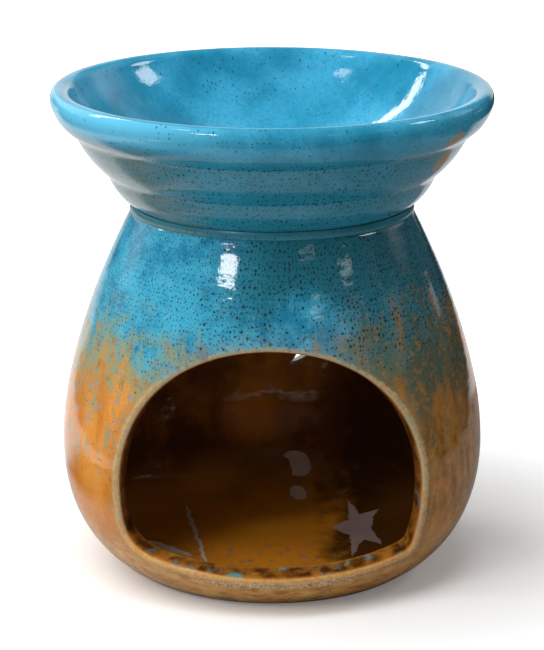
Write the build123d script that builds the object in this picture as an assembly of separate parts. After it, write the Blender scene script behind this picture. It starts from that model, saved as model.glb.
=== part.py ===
from build123d import *
import math
import os

# Essential oil burner in glazed stoneware.
# A round pot holds a tealight behind a wide hand-cut arch. A shallow oil bowl with turned
# ribs under its rim closes the pot's mouth. Potters join two such pieces while the clay is
# damp: both edges are cut back to a V, and a soft coil of clay is pressed into it.
# Millimetres. The origin is the centre of the foot on the table. Z is up and the arch
# faces -Y. Outlines are drawn in the XZ plane, radius along X and height along Z.

# Chamber: outside
FOOT_RADIUS = 35.0
BELLY_RADIUS = 53.1
BELLY_HEIGHT = 33.0
NECK_RADIUS = 34.9
NECK_HEIGHT = 93.3

# Chamber: clay thickness, and the dry ring that the pot stands on
WALL = 5.0
FLOOR = 5.0
FLOOR_FLAT_RADIUS = 16.0
FOOT_RING_WIDTH = 4.5
FOOT_RECESS = 1.5
FOOT_RECESS_ROUND = 1.0

# Arch for the candle, hand cut through the front wall with the knife slanting in all round.
# These sizes hold in the upright plane where the arch is widest on the outside of the belly.
ARCH_WIDTH = 74.0
ARCH_SPRING_HEIGHT = 31.0
ARCH_TOP_HEIGHT = 66.1
ARCH_SHIFT = -0.5
SILL_HEIGHT = 13.3
SILL_WIDTH = 71.4
ARCH_LEFT_CORNER = 7.5
ARCH_RIGHT_CORNER = 2.0
ARCH_EDGE_ROUND = 1.2
ARCH_SIDE_SLANT_DEGREES = 21.0
ARCH_TOP_SLANT_DEGREES = 10.0
SILL_SLANT_DEGREES = 17.5

# Vents in the back wall: a crescent moon between two stars
MOON_RADIUS = 14.0
MOON_BITE_RADIUS = 11.5
MOON_BITE_OFFSET = 6.5
MOON_TILT_DEGREES = 235.0
MOON_HORN_ROUND = 0.8
MOON_HEIGHT = 50.5
STAR_RADIUS = 9.0
STAR_WAIST_RADIUS = 4.4
STAR_HEIGHT = 52.0
STAR_ANGLE_DEGREES = 36.0
STAR_POINTS = 5
STAR_CORNER_ROUND = 1.0
VENT_EDGE_ROUND = 0.3

# Oil bowl, from the joint at its foot up to the crest of its lip
BOWL_RIM_RADIUS = 55.0
BOWL_HEIGHT = 30.0
BOWL_BOTTOM = 5.7
RIB_BULGE = 0.8

# Rolled lip: how far its crest and its inner edge lie in from the rim, and how far the
# rim and the inner edge lie below the crest
LIP_CREST_INSET = 2.0
LIP_WIDTH = 4.6
LIP_RIM_DROP = 2.9
LIP_INNER_DROP = 0.7

# Joint between the two: depth of the V, its half height, and how far the coil stands out
JOINT_DEPTH = 2.0
JOINT_HALF_HEIGHT = 1.1
COIL_BULGE = 0.35

# Handles of the curves, as shares of the width or height that each curve spans
FOOT_CURVE_SHARES = (0.50, 0.14, 0.57)
SHOULDER_CURVE_SHARES = (0.36, 0.31, 0.37)
CAVITY_CURVE_SHARES = (0.75, 0.71)
ARCH_CURVE_SHARE = 0.57
SILL_CURVE_SHARES = (0.45, 0.30)
WELL_CURVE_SHARES = (0.137, 0.576, 0.615)
LIP_ROUND_SHARE = 0.55

# Grooves between the ribs under the rim, lowest first: how far each has come from the neck
# to the rim, and from the joint to the crest
GROOVE_SHARES = ((0.31, 0.293), (0.706, 0.637), (0.97, 0.833))

# Every cutter runs past what it cuts by this much
OVERRUN = 8.0


def foot_curve():
    """Outside of the chamber from the table up to the widest part of the belly."""
    out_share, up_share, under_share = FOOT_CURVE_SHARES
    width = BELLY_RADIUS - FOOT_RADIUS
    return Bezier(
        (FOOT_RADIUS, 0),
        (FOOT_RADIUS + out_share * width, up_share * BELLY_HEIGHT),
        (BELLY_RADIUS, BELLY_HEIGHT - under_share * BELLY_HEIGHT),
        (BELLY_RADIUS, BELLY_HEIGHT),
    )


def shoulder_curve(inset, top_radius, top_height):
    """Belly up to the neck, drawn inset from the outside by a clay thickness."""
    rise_share, in_share, down_share = SHOULDER_CURVE_SHARES
    belly = BELLY_RADIUS - inset
    width = belly - top_radius
    height = top_height - BELLY_HEIGHT
    return Bezier(
        (belly, BELLY_HEIGHT),
        (belly, BELLY_HEIGHT + rise_share * height),
        (top_radius + in_share * width, top_height - down_share * height),
        (top_radius, top_height),
    )


def revolve_outline(*edges):
    """Turn a closed outline of radius and height about the Z axis."""
    outline = make_face(Wire(list(edges)))
    return revolve(Plane.XZ * outline, Axis.Z)


def chamber_outside():
    """Solid pot, cut back to half of the V at its neck."""
    coil_radius = NECK_RADIUS + COIL_BULGE
    v_bottom = NECK_HEIGHT - JOINT_HALF_HEIGHT
    v_radius = NECK_RADIUS - JOINT_DEPTH
    return revolve_outline(
        Line((0, 0), (FOOT_RADIUS, 0)),
        foot_curve(),
        shoulder_curve(0, coil_radius, v_bottom),
        Line((coil_radius, v_bottom), (v_radius, NECK_HEIGHT)),
        Line((v_radius, NECK_HEIGHT), (0, NECK_HEIGHT)),
        Line((0, NECK_HEIGHT), (0, 0)),
    )


def chamber_inside():
    """Hollow for the candle: a flat floor that sweeps up into the wall, open at the neck."""
    out_share, down_share = CAVITY_CURVE_SHARES
    belly = BELLY_RADIUS - WALL
    mouth = NECK_RADIUS - WALL
    sweep_width = belly - FLOOR_FLAT_RADIUS
    sweep_height = BELLY_HEIGHT - FLOOR
    sweep = Bezier(
        (FLOOR_FLAT_RADIUS, FLOOR),
        (FLOOR_FLAT_RADIUS + out_share * sweep_width, FLOOR),
        (belly, BELLY_HEIGHT - down_share * sweep_height),
        (belly, BELLY_HEIGHT),
    )
    return revolve_outline(
        Line((0, FLOOR), (FLOOR_FLAT_RADIUS, FLOOR)),
        sweep,
        shoulder_curve(WALL, mouth, NECK_HEIGHT),
        Line((mouth, NECK_HEIGHT), (0, NECK_HEIGHT)),
        Line((0, NECK_HEIGHT), (0, FLOOR)),
    )


def foot_recess():
    """Shallow hollow under the pot that leaves a dry ring to stand on."""
    radius = FOOT_RADIUS - FOOT_RING_WIDTH
    disc = Cylinder(radius, FOOT_RECESS, align=(Align.CENTER, Align.CENTER, Align.MIN))
    return fillet(disc.edges().sort_by(Axis.Z)[-1], FOOT_RECESS_ROUND)


def arch_outline(ahead):
    """Front view of the arch, opened by its slants for a plane that far ahead of its own."""
    side_gain = ahead * math.tan(math.radians(ARCH_SIDE_SLANT_DEGREES))
    half = ARCH_WIDTH / 2 + side_gain
    sill_half = SILL_WIDTH / 2 + side_gain
    top = ARCH_TOP_HEIGHT + ahead * math.tan(math.radians(ARCH_TOP_SLANT_DEGREES))
    sill = SILL_HEIGHT - ahead * math.tan(math.radians(SILL_SLANT_DEGREES))
    rise = top - ARCH_SPRING_HEIGHT
    drop = ARCH_SPRING_HEIGHT - sill
    top_share, foot_share = SILL_CURVE_SHARES
    edges = [Line((-sill_half, sill), (sill_half, sill))]
    for side in (1, -1):
        edges.append(Bezier(
            (side * half, ARCH_SPRING_HEIGHT),
            (side * half, ARCH_SPRING_HEIGHT + ARCH_CURVE_SHARE * rise),
            (side * ARCH_CURVE_SHARE * half, top),
            (0, top),
        ))
        edges.append(Bezier(
            (side * half, ARCH_SPRING_HEIGHT),
            (side * half, ARCH_SPRING_HEIGHT - top_share * drop),
            (side * sill_half, sill + foot_share * drop),
            (side * sill_half, sill),
        ))
    outline = make_face(Wire(edges))
    for side, radius in ((-1, ARCH_LEFT_CORNER), (1, ARCH_RIGHT_CORNER)):
        corner = outline.vertices().sort_by_distance((side * sill_half, sill))[0]
        outline = fillet(corner, radius)
    return outline


def arch_cutter():
    """Block that narrows from past the front of the belly to half way in to the axis."""
    widest_depth = math.sqrt(BELLY_RADIUS ** 2 - (ARCH_WIDTH / 2) ** 2)
    ends = []
    for depth in (BELLY_RADIUS + OVERRUN, widest_depth / 2):
        plane = Plane((ARCH_SHIFT, -depth, 0), x_dir=(1, 0, 0), z_dir=(0, -1, 0))
        ends.append(plane * arch_outline(depth - widest_depth))
    return loft(ends, ruled=True)


def moon_outline():
    """Crescent as seen from the front: a disc with a smaller disc bitten out."""
    tilt = math.radians(MOON_TILT_DEGREES)
    bite = Pos(MOON_BITE_OFFSET * math.cos(tilt), MOON_BITE_OFFSET * math.sin(tilt))
    moon = Circle(MOON_RADIUS) - bite * Circle(MOON_BITE_RADIUS)
    return fillet(moon.vertices(), MOON_HORN_ROUND)


def star_outline():
    """Upright star with straight arms and slightly blunt tips."""
    points = []
    for step in range(2 * STAR_POINTS):
        radius = STAR_WAIST_RADIUS if step % 2 else STAR_RADIUS
        angle = math.pi / 2 + step * math.pi / STAR_POINTS
        points.append((radius * math.cos(angle), radius * math.sin(angle)))
    star = make_face(Polyline(*points, close=True))
    return fillet(star.vertices(), STAR_CORNER_ROUND)


def vent_cutter(outline, height, turn_degrees):
    """Prism through the back wall only, turned about Z away from straight back."""
    back = extrude(Plane.XZ * outline, -(BELLY_RADIUS + OVERRUN))
    return Rot(0, 0, turn_degrees) * Pos(0, 0, height) * back


def cut_and_round(body, cutter, radius):
    """Cut through the wall, then round the edges that the cut leaves inside and out."""
    cut = body - cutter
    return fillet(new_edges(body, cutter, combined=cut), radius)


def make_chamber():
    """Pot with its foot recess, arch and vents, their edges as round as glaze leaves them."""
    chamber = chamber_outside() - foot_recess() - chamber_inside()
    chamber = cut_and_round(chamber, arch_cutter(), ARCH_EDGE_ROUND)
    moon = vent_cutter(moon_outline(), MOON_HEIGHT, 0)
    chamber = cut_and_round(chamber, moon, VENT_EDGE_ROUND)
    for side in (-1, 1):
        star = vent_cutter(star_outline(), STAR_HEIGHT, side * STAR_ANGLE_DEGREES)
        chamber = cut_and_round(chamber, star, VENT_EDGE_ROUND)
    return chamber


def rib(low, high):
    """One turned rib between two grooves, swelling outwards and down."""
    run = high[0] - low[0]
    rise = high[1] - low[1]
    length = math.hypot(run, rise)
    middle = ((low[0] + high[0]) / 2, (low[1] + high[1]) / 2)
    crown = (middle[0] + RIB_BULGE * rise / length, middle[1] - RIB_BULGE * run / length)
    return ThreePointArc(low, crown, high)


def lip_curves(groove, rim, crest, mouth):
    """Rolled lip: out to the rim, up over the crest and in to the mouth of the well."""
    under_height = groove[1] + LIP_ROUND_SHARE * (rim[1] - groove[1])
    over_height = rim[1] + LIP_ROUND_SHARE * (crest[1] - rim[1])
    over_radius = crest[0] + LIP_ROUND_SHARE * (rim[0] - crest[0])
    inner_radius = crest[0] - LIP_ROUND_SHARE * (crest[0] - mouth[0])
    return [
        Bezier(groove, (rim[0], under_height), rim),
        Bezier(rim, (rim[0], over_height), (over_radius, crest[1]), crest),
        Bezier(crest, (inner_radius, crest[1]), mouth),
    ]


def groove_places():
    """Radius and height of the three grooves under the rim."""
    places = []
    for out_share, up_share in GROOVE_SHARES:
        radius = NECK_RADIUS + out_share * (BOWL_RIM_RADIUS - NECK_RADIUS)
        places.append((radius, NECK_HEIGHT + up_share * BOWL_HEIGHT))
    return places


def make_bowl():
    """Dish with three turned ribs, a rolled lip and a smooth round well."""
    top = NECK_HEIGHT + BOWL_HEIGHT
    seat_radius = NECK_RADIUS - JOINT_DEPTH
    v_top = (NECK_RADIUS + COIL_BULGE, NECK_HEIGHT + JOINT_HALF_HEIGHT)
    lower, upper, lip = groove_places()
    rim = (BOWL_RIM_RADIUS, top - LIP_RIM_DROP)
    crest = (BOWL_RIM_RADIUS - LIP_CREST_INSET, top)
    mouth = (BOWL_RIM_RADIUS - LIP_WIDTH, top - LIP_INNER_DROP)
    well_height = NECK_HEIGHT + BOWL_BOTTOM
    well_depth = mouth[1] - well_height
    in_share, down_share, flat_share = WELL_CURVE_SHARES
    return revolve_outline(
        Line((0, NECK_HEIGHT), (seat_radius, NECK_HEIGHT)),
        Line((seat_radius, NECK_HEIGHT), v_top),
        rib(v_top, lower),
        rib(lower, upper),
        rib(upper, lip),
        *lip_curves(lip, rim, crest, mouth),
        Bezier(
            mouth,
            (mouth[0] - in_share * mouth[0], mouth[1] - down_share * well_depth),
            (flat_share * mouth[0], well_height),
            (0, well_height),
        ),
        Line((0, well_height), (0, NECK_HEIGHT)),
    )


def make_luting_coil():
    """Coil of clay that fills the V and shows as a fine bead round the neck."""
    apex = (NECK_RADIUS - JOINT_DEPTH, NECK_HEIGHT)
    low = (NECK_RADIUS + COIL_BULGE, NECK_HEIGHT - JOINT_HALF_HEIGHT)
    high = (NECK_RADIUS + COIL_BULGE, NECK_HEIGHT + JOINT_HALF_HEIGHT)
    crown = (NECK_RADIUS + 2 * COIL_BULGE, NECK_HEIGHT)
    return revolve_outline(
        Line(apex, low),
        ThreePointArc(low, crown, high),
        Line(high, apex),
    )


os.makedirs("parts", exist_ok=True)
export_step(make_chamber(), "parts/chamber.step")
export_step(make_bowl(), "parts/oil_bowl.step")
export_step(make_luting_coil(), "parts/luting_coil.step")
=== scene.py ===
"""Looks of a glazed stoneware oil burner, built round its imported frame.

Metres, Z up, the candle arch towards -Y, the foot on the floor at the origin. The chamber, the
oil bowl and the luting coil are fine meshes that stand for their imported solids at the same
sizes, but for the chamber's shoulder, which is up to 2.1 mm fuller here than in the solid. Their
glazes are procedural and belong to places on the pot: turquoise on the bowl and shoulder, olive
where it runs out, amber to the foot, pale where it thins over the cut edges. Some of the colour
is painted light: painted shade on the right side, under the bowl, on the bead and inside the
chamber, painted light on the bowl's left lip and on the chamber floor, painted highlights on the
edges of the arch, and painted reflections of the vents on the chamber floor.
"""

from __future__ import annotations

import logging
import math
from dataclasses import dataclass
from enum import Enum

import bmesh
import bpy
import numpy as np
from mathutils import Euler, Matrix, Quaternion, Vector, geometry, kdtree, noise

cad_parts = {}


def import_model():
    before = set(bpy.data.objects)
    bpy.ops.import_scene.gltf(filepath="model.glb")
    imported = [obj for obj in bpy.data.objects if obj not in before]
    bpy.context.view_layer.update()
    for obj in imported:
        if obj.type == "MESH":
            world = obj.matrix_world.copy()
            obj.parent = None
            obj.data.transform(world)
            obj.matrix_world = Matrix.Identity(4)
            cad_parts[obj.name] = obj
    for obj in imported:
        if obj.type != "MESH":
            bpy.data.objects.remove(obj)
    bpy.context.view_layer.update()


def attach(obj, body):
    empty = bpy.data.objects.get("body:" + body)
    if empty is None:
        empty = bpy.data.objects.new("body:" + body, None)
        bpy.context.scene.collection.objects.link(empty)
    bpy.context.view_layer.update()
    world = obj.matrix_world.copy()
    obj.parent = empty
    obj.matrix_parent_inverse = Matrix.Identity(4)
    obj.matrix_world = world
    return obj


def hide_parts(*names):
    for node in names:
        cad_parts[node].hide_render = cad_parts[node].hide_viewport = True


LOG = logging.getLogger("oil_burner")
MILLIMETRE = 0.001
Colour = tuple[float, float, float, float]
Socket = bpy.types.NodeSocket
WHITE = (1.0, 1.0, 1.0, 1.0)


def curve_points(handles: list[tuple[float, float]], steps: int) -> np.ndarray:
    """Points along a Bezier curve with any number of handles, both ends included.

    Args:
        handles: The curve's ends and the handles between them.
        steps: How many stretches the curve is divided into.

    Returns:
        One row of two values for each point.
    """
    shares = np.linspace(0.0, 1.0, steps + 1)[:, None]
    rows = [np.tile(np.array(handle, float), (steps + 1, 1)) for handle in handles]
    while len(rows) > 1:
        rows = [(1 - shares) * a + shares * b for a, b in zip(rows, rows[1:])]
    return rows[0]


def arc_points(start: np.ndarray, crown: np.ndarray, end: np.ndarray, steps: int) -> np.ndarray:
    """Points on the circle through three points, from the first by the second to the third.

    Args:
        start: First end of the arc.
        crown: A point on the arc.
        end: Last end of the arc.
        steps: How many stretches the arc is divided into.

    Returns:
        One row of two values for each point.
    """
    equations = 2 * np.array([crown - start, end - start])
    centre = np.linalg.solve(equations, [crown @ crown - start @ start, end @ end - start @ start])
    angles = [math.atan2(*(point - centre)[::-1]) for point in (start, crown, end)]
    swept = [(angle - angles[0]) % math.tau for angle in angles]
    turn = swept[2] if swept[1] <= swept[2] else swept[2] - math.tau
    along = angles[0] + turn * np.linspace(0.0, 1.0, steps + 1)
    radius = np.linalg.norm(start - centre)
    return centre + radius * np.stack([np.cos(along), np.sin(along)], axis=1)


def even_points(points: np.ndarray, steps: int) -> np.ndarray:
    """The same line with its points at equal distances, both ends kept.

    Args:
        points: One row of two values for each point of the line.
        steps: How many stretches the line is divided into.

    Returns:
        One row of two values for each new point.
    """
    runs = np.concatenate([[0.0], np.cumsum(np.linalg.norm(np.diff(points, axis=0), axis=1))])
    wanted = np.linspace(0.0, runs[-1], steps + 1)
    return np.stack([np.interp(wanted, runs, points[:, axis]) for axis in range(2)], axis=1)


def inside_loop(points: np.ndarray, loop: np.ndarray) -> np.ndarray:
    """Which points of a plane lie within a closed loop.

    Args:
        points: One row of two values for each point.
        loop: Corners of the loop in order.

    Returns:
        True for each point that lies within.
    """
    crossings = np.zeros(len(points), int)
    for corner, following in zip(loop, np.roll(loop, -1, axis=0)):
        between = (corner[1] > points[:, 1]) != (following[1] > points[:, 1])
        rise = following[1] - corner[1] or 1.0
        reach = corner[0] + (points[:, 1] - corner[1]) / rise * (following[0] - corner[0])
        crossings += between & (points[:, 0] < reach)
    return crossings % 2 == 1


class Profile:
    """Side view of a turned surface: its radius and height by the distance run along it."""

    SAME_PLACE = 1e-9
    NORMAL_REACH = 0.4 * MILLIMETRE

    def __init__(self, points: np.ndarray) -> None:
        """Keep the line without doubled points.

        Args:
            points: Radius and height of the line's points, from the foot up, at any spacing.
        """
        steps = np.linalg.norm(np.diff(points, axis=0), axis=1)
        keep = np.concatenate([[True], steps > self.SAME_PLACE])
        self.points = points[keep]
        self.runs = np.concatenate([[0.0], np.cumsum(steps[steps > self.SAME_PLACE])])

    @property
    def length(self) -> float:
        """Length of the whole line."""
        return float(self.runs[-1])

    def softened(self, reach: float, spacing: float) -> Profile:
        """The same line with its grooves and corners filled as glaze fills them.

        Args:
            reach: How far the glaze rounds a corner.
            spacing: Distance between the new line's points.

        Returns:
            A new profile with both ends where they were.
        """
        count = max(8, round(self.length / spacing))
        runs = np.linspace(0.0, self.length, count + 1)
        line = np.stack(self.place(runs), axis=1)
        width = max(1, round(3 * reach / (self.length / count)))
        offsets = np.arange(-width, width + 1) * self.length / count
        weights = np.exp(-0.5 * (offsets / reach) ** 2)
        padded = np.pad(line, ((width, width), (0, 0)), mode="reflect", reflect_type="odd")
        smooth = [np.convolve(padded[:, axis], weights / weights.sum(), "valid") for axis in (0, 1)]
        return Profile(np.stack(smooth, axis=1))

    def place(self, runs: np.ndarray) -> tuple[np.ndarray, np.ndarray]:
        """Radius and height at distances along the line."""
        radius = np.interp(runs, self.runs, self.points[:, 0])
        return radius, np.interp(runs, self.runs, self.points[:, 1])

    def facing(self, runs: np.ndarray) -> tuple[np.ndarray, np.ndarray]:
        """The normal that lies right of the line's direction.

        Args:
            runs: Distances along the line.

        Returns:
            Radial and upward parts of the normal at each distance.
        """
        ahead = self.place(np.minimum(runs + self.NORMAL_REACH, self.length))
        behind = self.place(np.maximum(runs - self.NORMAL_REACH, 0.0))
        out, up = ahead[1] - behind[1], behind[0] - ahead[0]
        size = np.hypot(out, up)
        return out / size, up / size

    def radius_at(self, height: np.ndarray) -> np.ndarray:
        """Radius at a height, on a line that only climbs."""
        return np.interp(height, self.points[:, 1], self.points[:, 0])

    def run_at(self, height: np.ndarray) -> np.ndarray:
        """Distance along the line at a height, on a line that only climbs."""
        return np.interp(height, self.points[:, 1], self.runs)


@dataclass(frozen=True)
class Handwork:
    """How far a thrown surface strays from the turned form."""

    sway: float = 0.05 * MILLIMETRE
    sway_length: float = 26 * MILLIMETRE
    ring: float = 0.010 * MILLIMETRE
    ring_spacing: float = 3.6 * MILLIMETRE
    inwards: float = 0.03 * MILLIMETRE
    start_height: float = 1.0 * MILLIMETRE

    def offset(self, place: Vector, seed: float) -> float:
        """Distance along the normal by which one point strays.

        Args:
            place: The point on the turned form.
            seed: A number that sets one surface's pattern apart from another's.

        Returns:
            Metres outwards.
        """
        start = Vector((seed, -seed, seed / 2))
        wide = noise.noise(place / self.sway_length + start)
        narrow = noise.noise(place / (self.sway_length / 3) + start)
        angle = math.atan2(place.y, place.x)
        phase = place.z / self.ring_spacing + angle / math.tau + 0.6 * wide
        sway = self.sway * (wide + 0.35 * narrow)
        return sway + self.ring * math.sin(math.tau * phase) - self.inwards


@dataclass
class Opening:
    """One opening cut through the wall, as matching loops on the outside and the inside."""

    name: str
    outer: np.ndarray
    inner: np.ndarray
    edge_round: float
    centre_angle: float
    arc_steps: int
    depth_steps: int


class WallMesh:
    """Collects points, faces and glaze measures of a thick turned wall with openings."""

    FAR = 0.06
    WINDOW_MARGIN = 3
    LOOP_CLEARANCE = 0.5
    MERGE_GAP = 1e-6

    def __init__(self, columns: int) -> None:
        """Start an empty mesh.

        Args:
            columns: How many columns of points it has round the axis.
        """
        self.columns = columns
        self.points: list[tuple[float, float, float]] = []
        self.faces: list[tuple[int, ...]] = []
        self.outer_run: list[float] = []
        self.inner_run: list[float] = []
        self.insideness: list[float] = []

    def add(self, points: np.ndarray, outer_run: float, inner_run: float, inside: float) -> list[int]:
        """Add points that share their glaze measures.

        Args:
            points: One row of three values for each point.
            outer_run: Signed distance from the outer edge of the nearest opening.
            inner_run: Signed distance from its inner edge.
            inside: 0 on the outside of the wall, 1 on the inside.

        Returns:
            The indices of the new points.
        """
        first = len(self.points)
        self.points.extend(map(tuple, points))
        self.outer_run.extend([outer_run] * len(points))
        self.inner_run.extend([inner_run] * len(points))
        self.insideness.extend([inside] * len(points))
        return list(range(first, first + len(points)))

    def ring(self, radius: float, height: float, inside: float) -> list[int]:
        """Add one full ring of points round the axis.

        Args:
            radius: Radius of the ring.
            height: Height of the ring.
            inside: 0 on the outside of the wall, 1 on the inside.

        Returns:
            The indices of the new points.
        """
        angles = np.arange(self.columns) * math.tau / self.columns
        points = [radius * np.sin(angles), -radius * np.cos(angles), np.full(self.columns, height)]
        return self.add(np.stack(points, axis=1), self.FAR, self.FAR, inside)

    def bridge(self, lower: list[int], upper: list[int]) -> None:
        """Join two closed rings of as many points with four-sided faces."""
        following = lower[1:] + lower[:1], upper[1:] + upper[:1]
        self.faces.extend(zip(lower, following[0], following[1], upper))

    def cap(self, ring: list[int], centre: tuple[float, float, float], inside: float) -> None:
        """Close a small ring with triangles that meet at its centre."""
        middle = self.add(np.array([centre]), self.FAR, self.FAR, inside)[0]
        self.faces.extend((a, b, middle) for a, b in zip(ring, ring[1:] + ring[:1]))

    def skin(
        self, profile: Profile, rows: int, loops: list[tuple[float, np.ndarray]], inside: float
    ) -> tuple[list[list[int]], list[list[int]]]:
        """Cover a turned surface, leaving holes for the openings.

        Args:
            profile: Side view of the surface.
            rows: How many rows of faces it gets.
            loops: Angle of each opening's middle, and its hole as points on the surface.
            inside: 0 on the outside of the wall, 1 on the inside.

        Returns:
            The point rings of the rows from the foot up, and the point loop of each hole.
        """
        runs = np.linspace(0.0, profile.length, rows + 1)
        rings = [self.ring(*map(float, profile.place(run)), inside) for run in runs]
        step_angle = math.tau / self.columns
        taken: set[tuple[int, int]] = set()
        hole_loops = []
        for centre_angle, loop in loops:
            angles = np.arctan2(loop[:, 0], -loop[:, 1])
            angles = centre_angle + (angles - centre_angle + math.pi) % math.tau - math.pi
            flat = np.stack([angles / step_angle, profile.run_at(loop[:, 2]) / runs[1]], axis=1)
            low = np.floor(flat.min(axis=0)).astype(int) - self.WINDOW_MARGIN
            high = np.ceil(flat.max(axis=0)).astype(int) + self.WINDOW_MARGIN
            low[1], high[1] = max(low[1], 0), min(high[1], rows)
            indices = self.add(loop, 0.0, 0.0, inside)
            self._fill_window(rings, flat, indices, low, high)
            taken.update((c % self.columns, r) for c in range(low[0], high[0]) for r in range(low[1],
                                                                                              high[1]))
            hole_loops.append(indices)
        for row in range(rows):
            for column in range(self.columns):
                if (column, row) not in taken:
                    beside = (column + 1) % self.columns
                    low_ring, high_ring = rings[row], rings[row + 1]
                    self.faces.append((low_ring[column], low_ring[beside], high_ring[beside],
                                       high_ring[column]))
        return rings, hole_loops

    def _fill_window(
        self,
        rings: list[list[int]],
        flat: np.ndarray,
        indices: list[int],
        low: np.ndarray,
        high: np.ndarray,
    ) -> None:
        """Fill the part of the grid round one hole with triangles that meet the hole's loop.

        Args:
            rings: Point rings of the surface.
            flat: The hole's loop in columns and rows of the grid.
            indices: Point indices of that loop.
            low: First column and row of the part.
            high: Last column and row of the part.
        """
        grid = np.array([(c, r) for c in range(low[0], high[0] + 1) for r in range(low[1], high[1] + 1)])
        tree = kdtree.KDTree(len(flat))
        for number, (column, row) in enumerate(flat):
            tree.insert((column, row, 0.0), number)
        tree.balance()
        apart = np.array([tree.find((c, r, 0.0))[2] > self.LOOP_CLEARANCE for c, r in grid])
        grid = grid[apart & ~inside_loop(grid.astype(float), flat)]
        spots = [Vector(spot) for spot in [*flat, *grid.astype(float)]]
        names = indices + [rings[r][c % self.columns] for c, r in grid]
        count = len(flat)
        edges = [(number, (number + 1) % count) for number in range(count)]
        result = geometry.delaunay_2d_cdt(spots, edges, [], 0, self.MERGE_GAP)
        corners = np.array([tuple(spot) for spot in result[0]])
        origin = [sources[0] for sources in result[3]]
        triangles = np.array(result[2])
        middles = corners[triangles].mean(axis=1)
        for triangle in triangles[~inside_loop(middles, flat)]:
            self.faces.append(tuple(names[origin[corner]] for corner in triangle))

    def line_opening(
        self, opening: Opening, rows: list[np.ndarray], outer: list[int], inner: list[int]
    ) -> None:
        """Join the two sides of the wall through one opening.

        Args:
            opening: The opening.
            rows: Point loops from the outside to the inside, the two skins' own loops included.
            outer: Point indices of the outside's loop.
            inner: Point indices of the inside's loop.
        """
        steps = [np.linalg.norm(b - a, axis=1).mean() for a, b in zip(rows, rows[1:])]
        runs = np.concatenate([[0.0], np.cumsum(steps)])
        previous = outer
        for row, run in zip(rows[1:-1], runs[1:-1]):
            current = self.add(row, -run, run - runs[-1], float(run / runs[-1]))
            self.bridge(previous, current)
            previous = current
        self.bridge(previous, inner)
        LOG.info("%s: %.1f mm deep from skin to skin", opening.name, runs[-1] / MILLIMETRE)

    def measure_edges(self, skins: list[tuple[list[list[int]], list[np.ndarray], bool]]) -> None:
        """Write how far each point of a skin lies from the openings' edges.

        Args:
            skins: For each skin its point rings, its hole loops and whether it is the inside.
        """
        for rings, loops, is_inside in skins:
            edge = np.concatenate(loops)
            tree = kdtree.KDTree(len(edge))
            for number, place in enumerate(edge):
                tree.insert(place, number)
            tree.balance()
            for ring in rings:
                for index in ring:
                    gap = min(tree.find(self.points[index])[2], self.FAR)
                    self.outer_run[index] = -self.FAR if is_inside else gap
                    self.inner_run[index] = gap if is_inside else -self.FAR

    def finish(self, name: str, handwork: Handwork, seed: float) -> bpy.types.Object:
        """Make the object, smooth and closed, with its measures as point attributes.

        Args:
            name: Name of the object.
            handwork: How far the surface strays from the turned form.
            seed: Sets its pattern apart from the other pieces'.

        Returns:
            The new object, linked to the scene.
        """
        mesh = bpy.data.meshes.new(name)
        mesh.from_pydata(self.points, [], self.faces)
        for label, values in (
            ("outer_run", self.outer_run), ("inner_run", self.inner_run), ("inside", self.insideness)
        ):
            attribute = mesh.attributes.new(label, "FLOAT", "POINT")
            attribute.data.foreach_set("value", values)
        work = bmesh.new()
        work.from_mesh(mesh)
        loose = [vertex for vertex in work.verts if not vertex.link_faces]
        bmesh.ops.delete(work, geom=loose, context="VERTS")
        bmesh.ops.recalc_face_normals(work, faces=work.faces)
        work.normal_update()
        for vertex in work.verts:
            if vertex.co.z > handwork.start_height:
                vertex.co += vertex.normal * handwork.offset(vertex.co, seed)
        open_edges = sum(not edge.is_manifold for edge in work.edges)
        for face in work.faces:
            face.smooth = True
        work.to_mesh(mesh)
        work.free()
        LOG.info("%s: %d faces, %d open edges", name, len(mesh.polygons), open_edges)
        obj = bpy.data.objects.new(name, mesh)
        bpy.context.scene.collection.objects.link(obj)
        return obj


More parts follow.
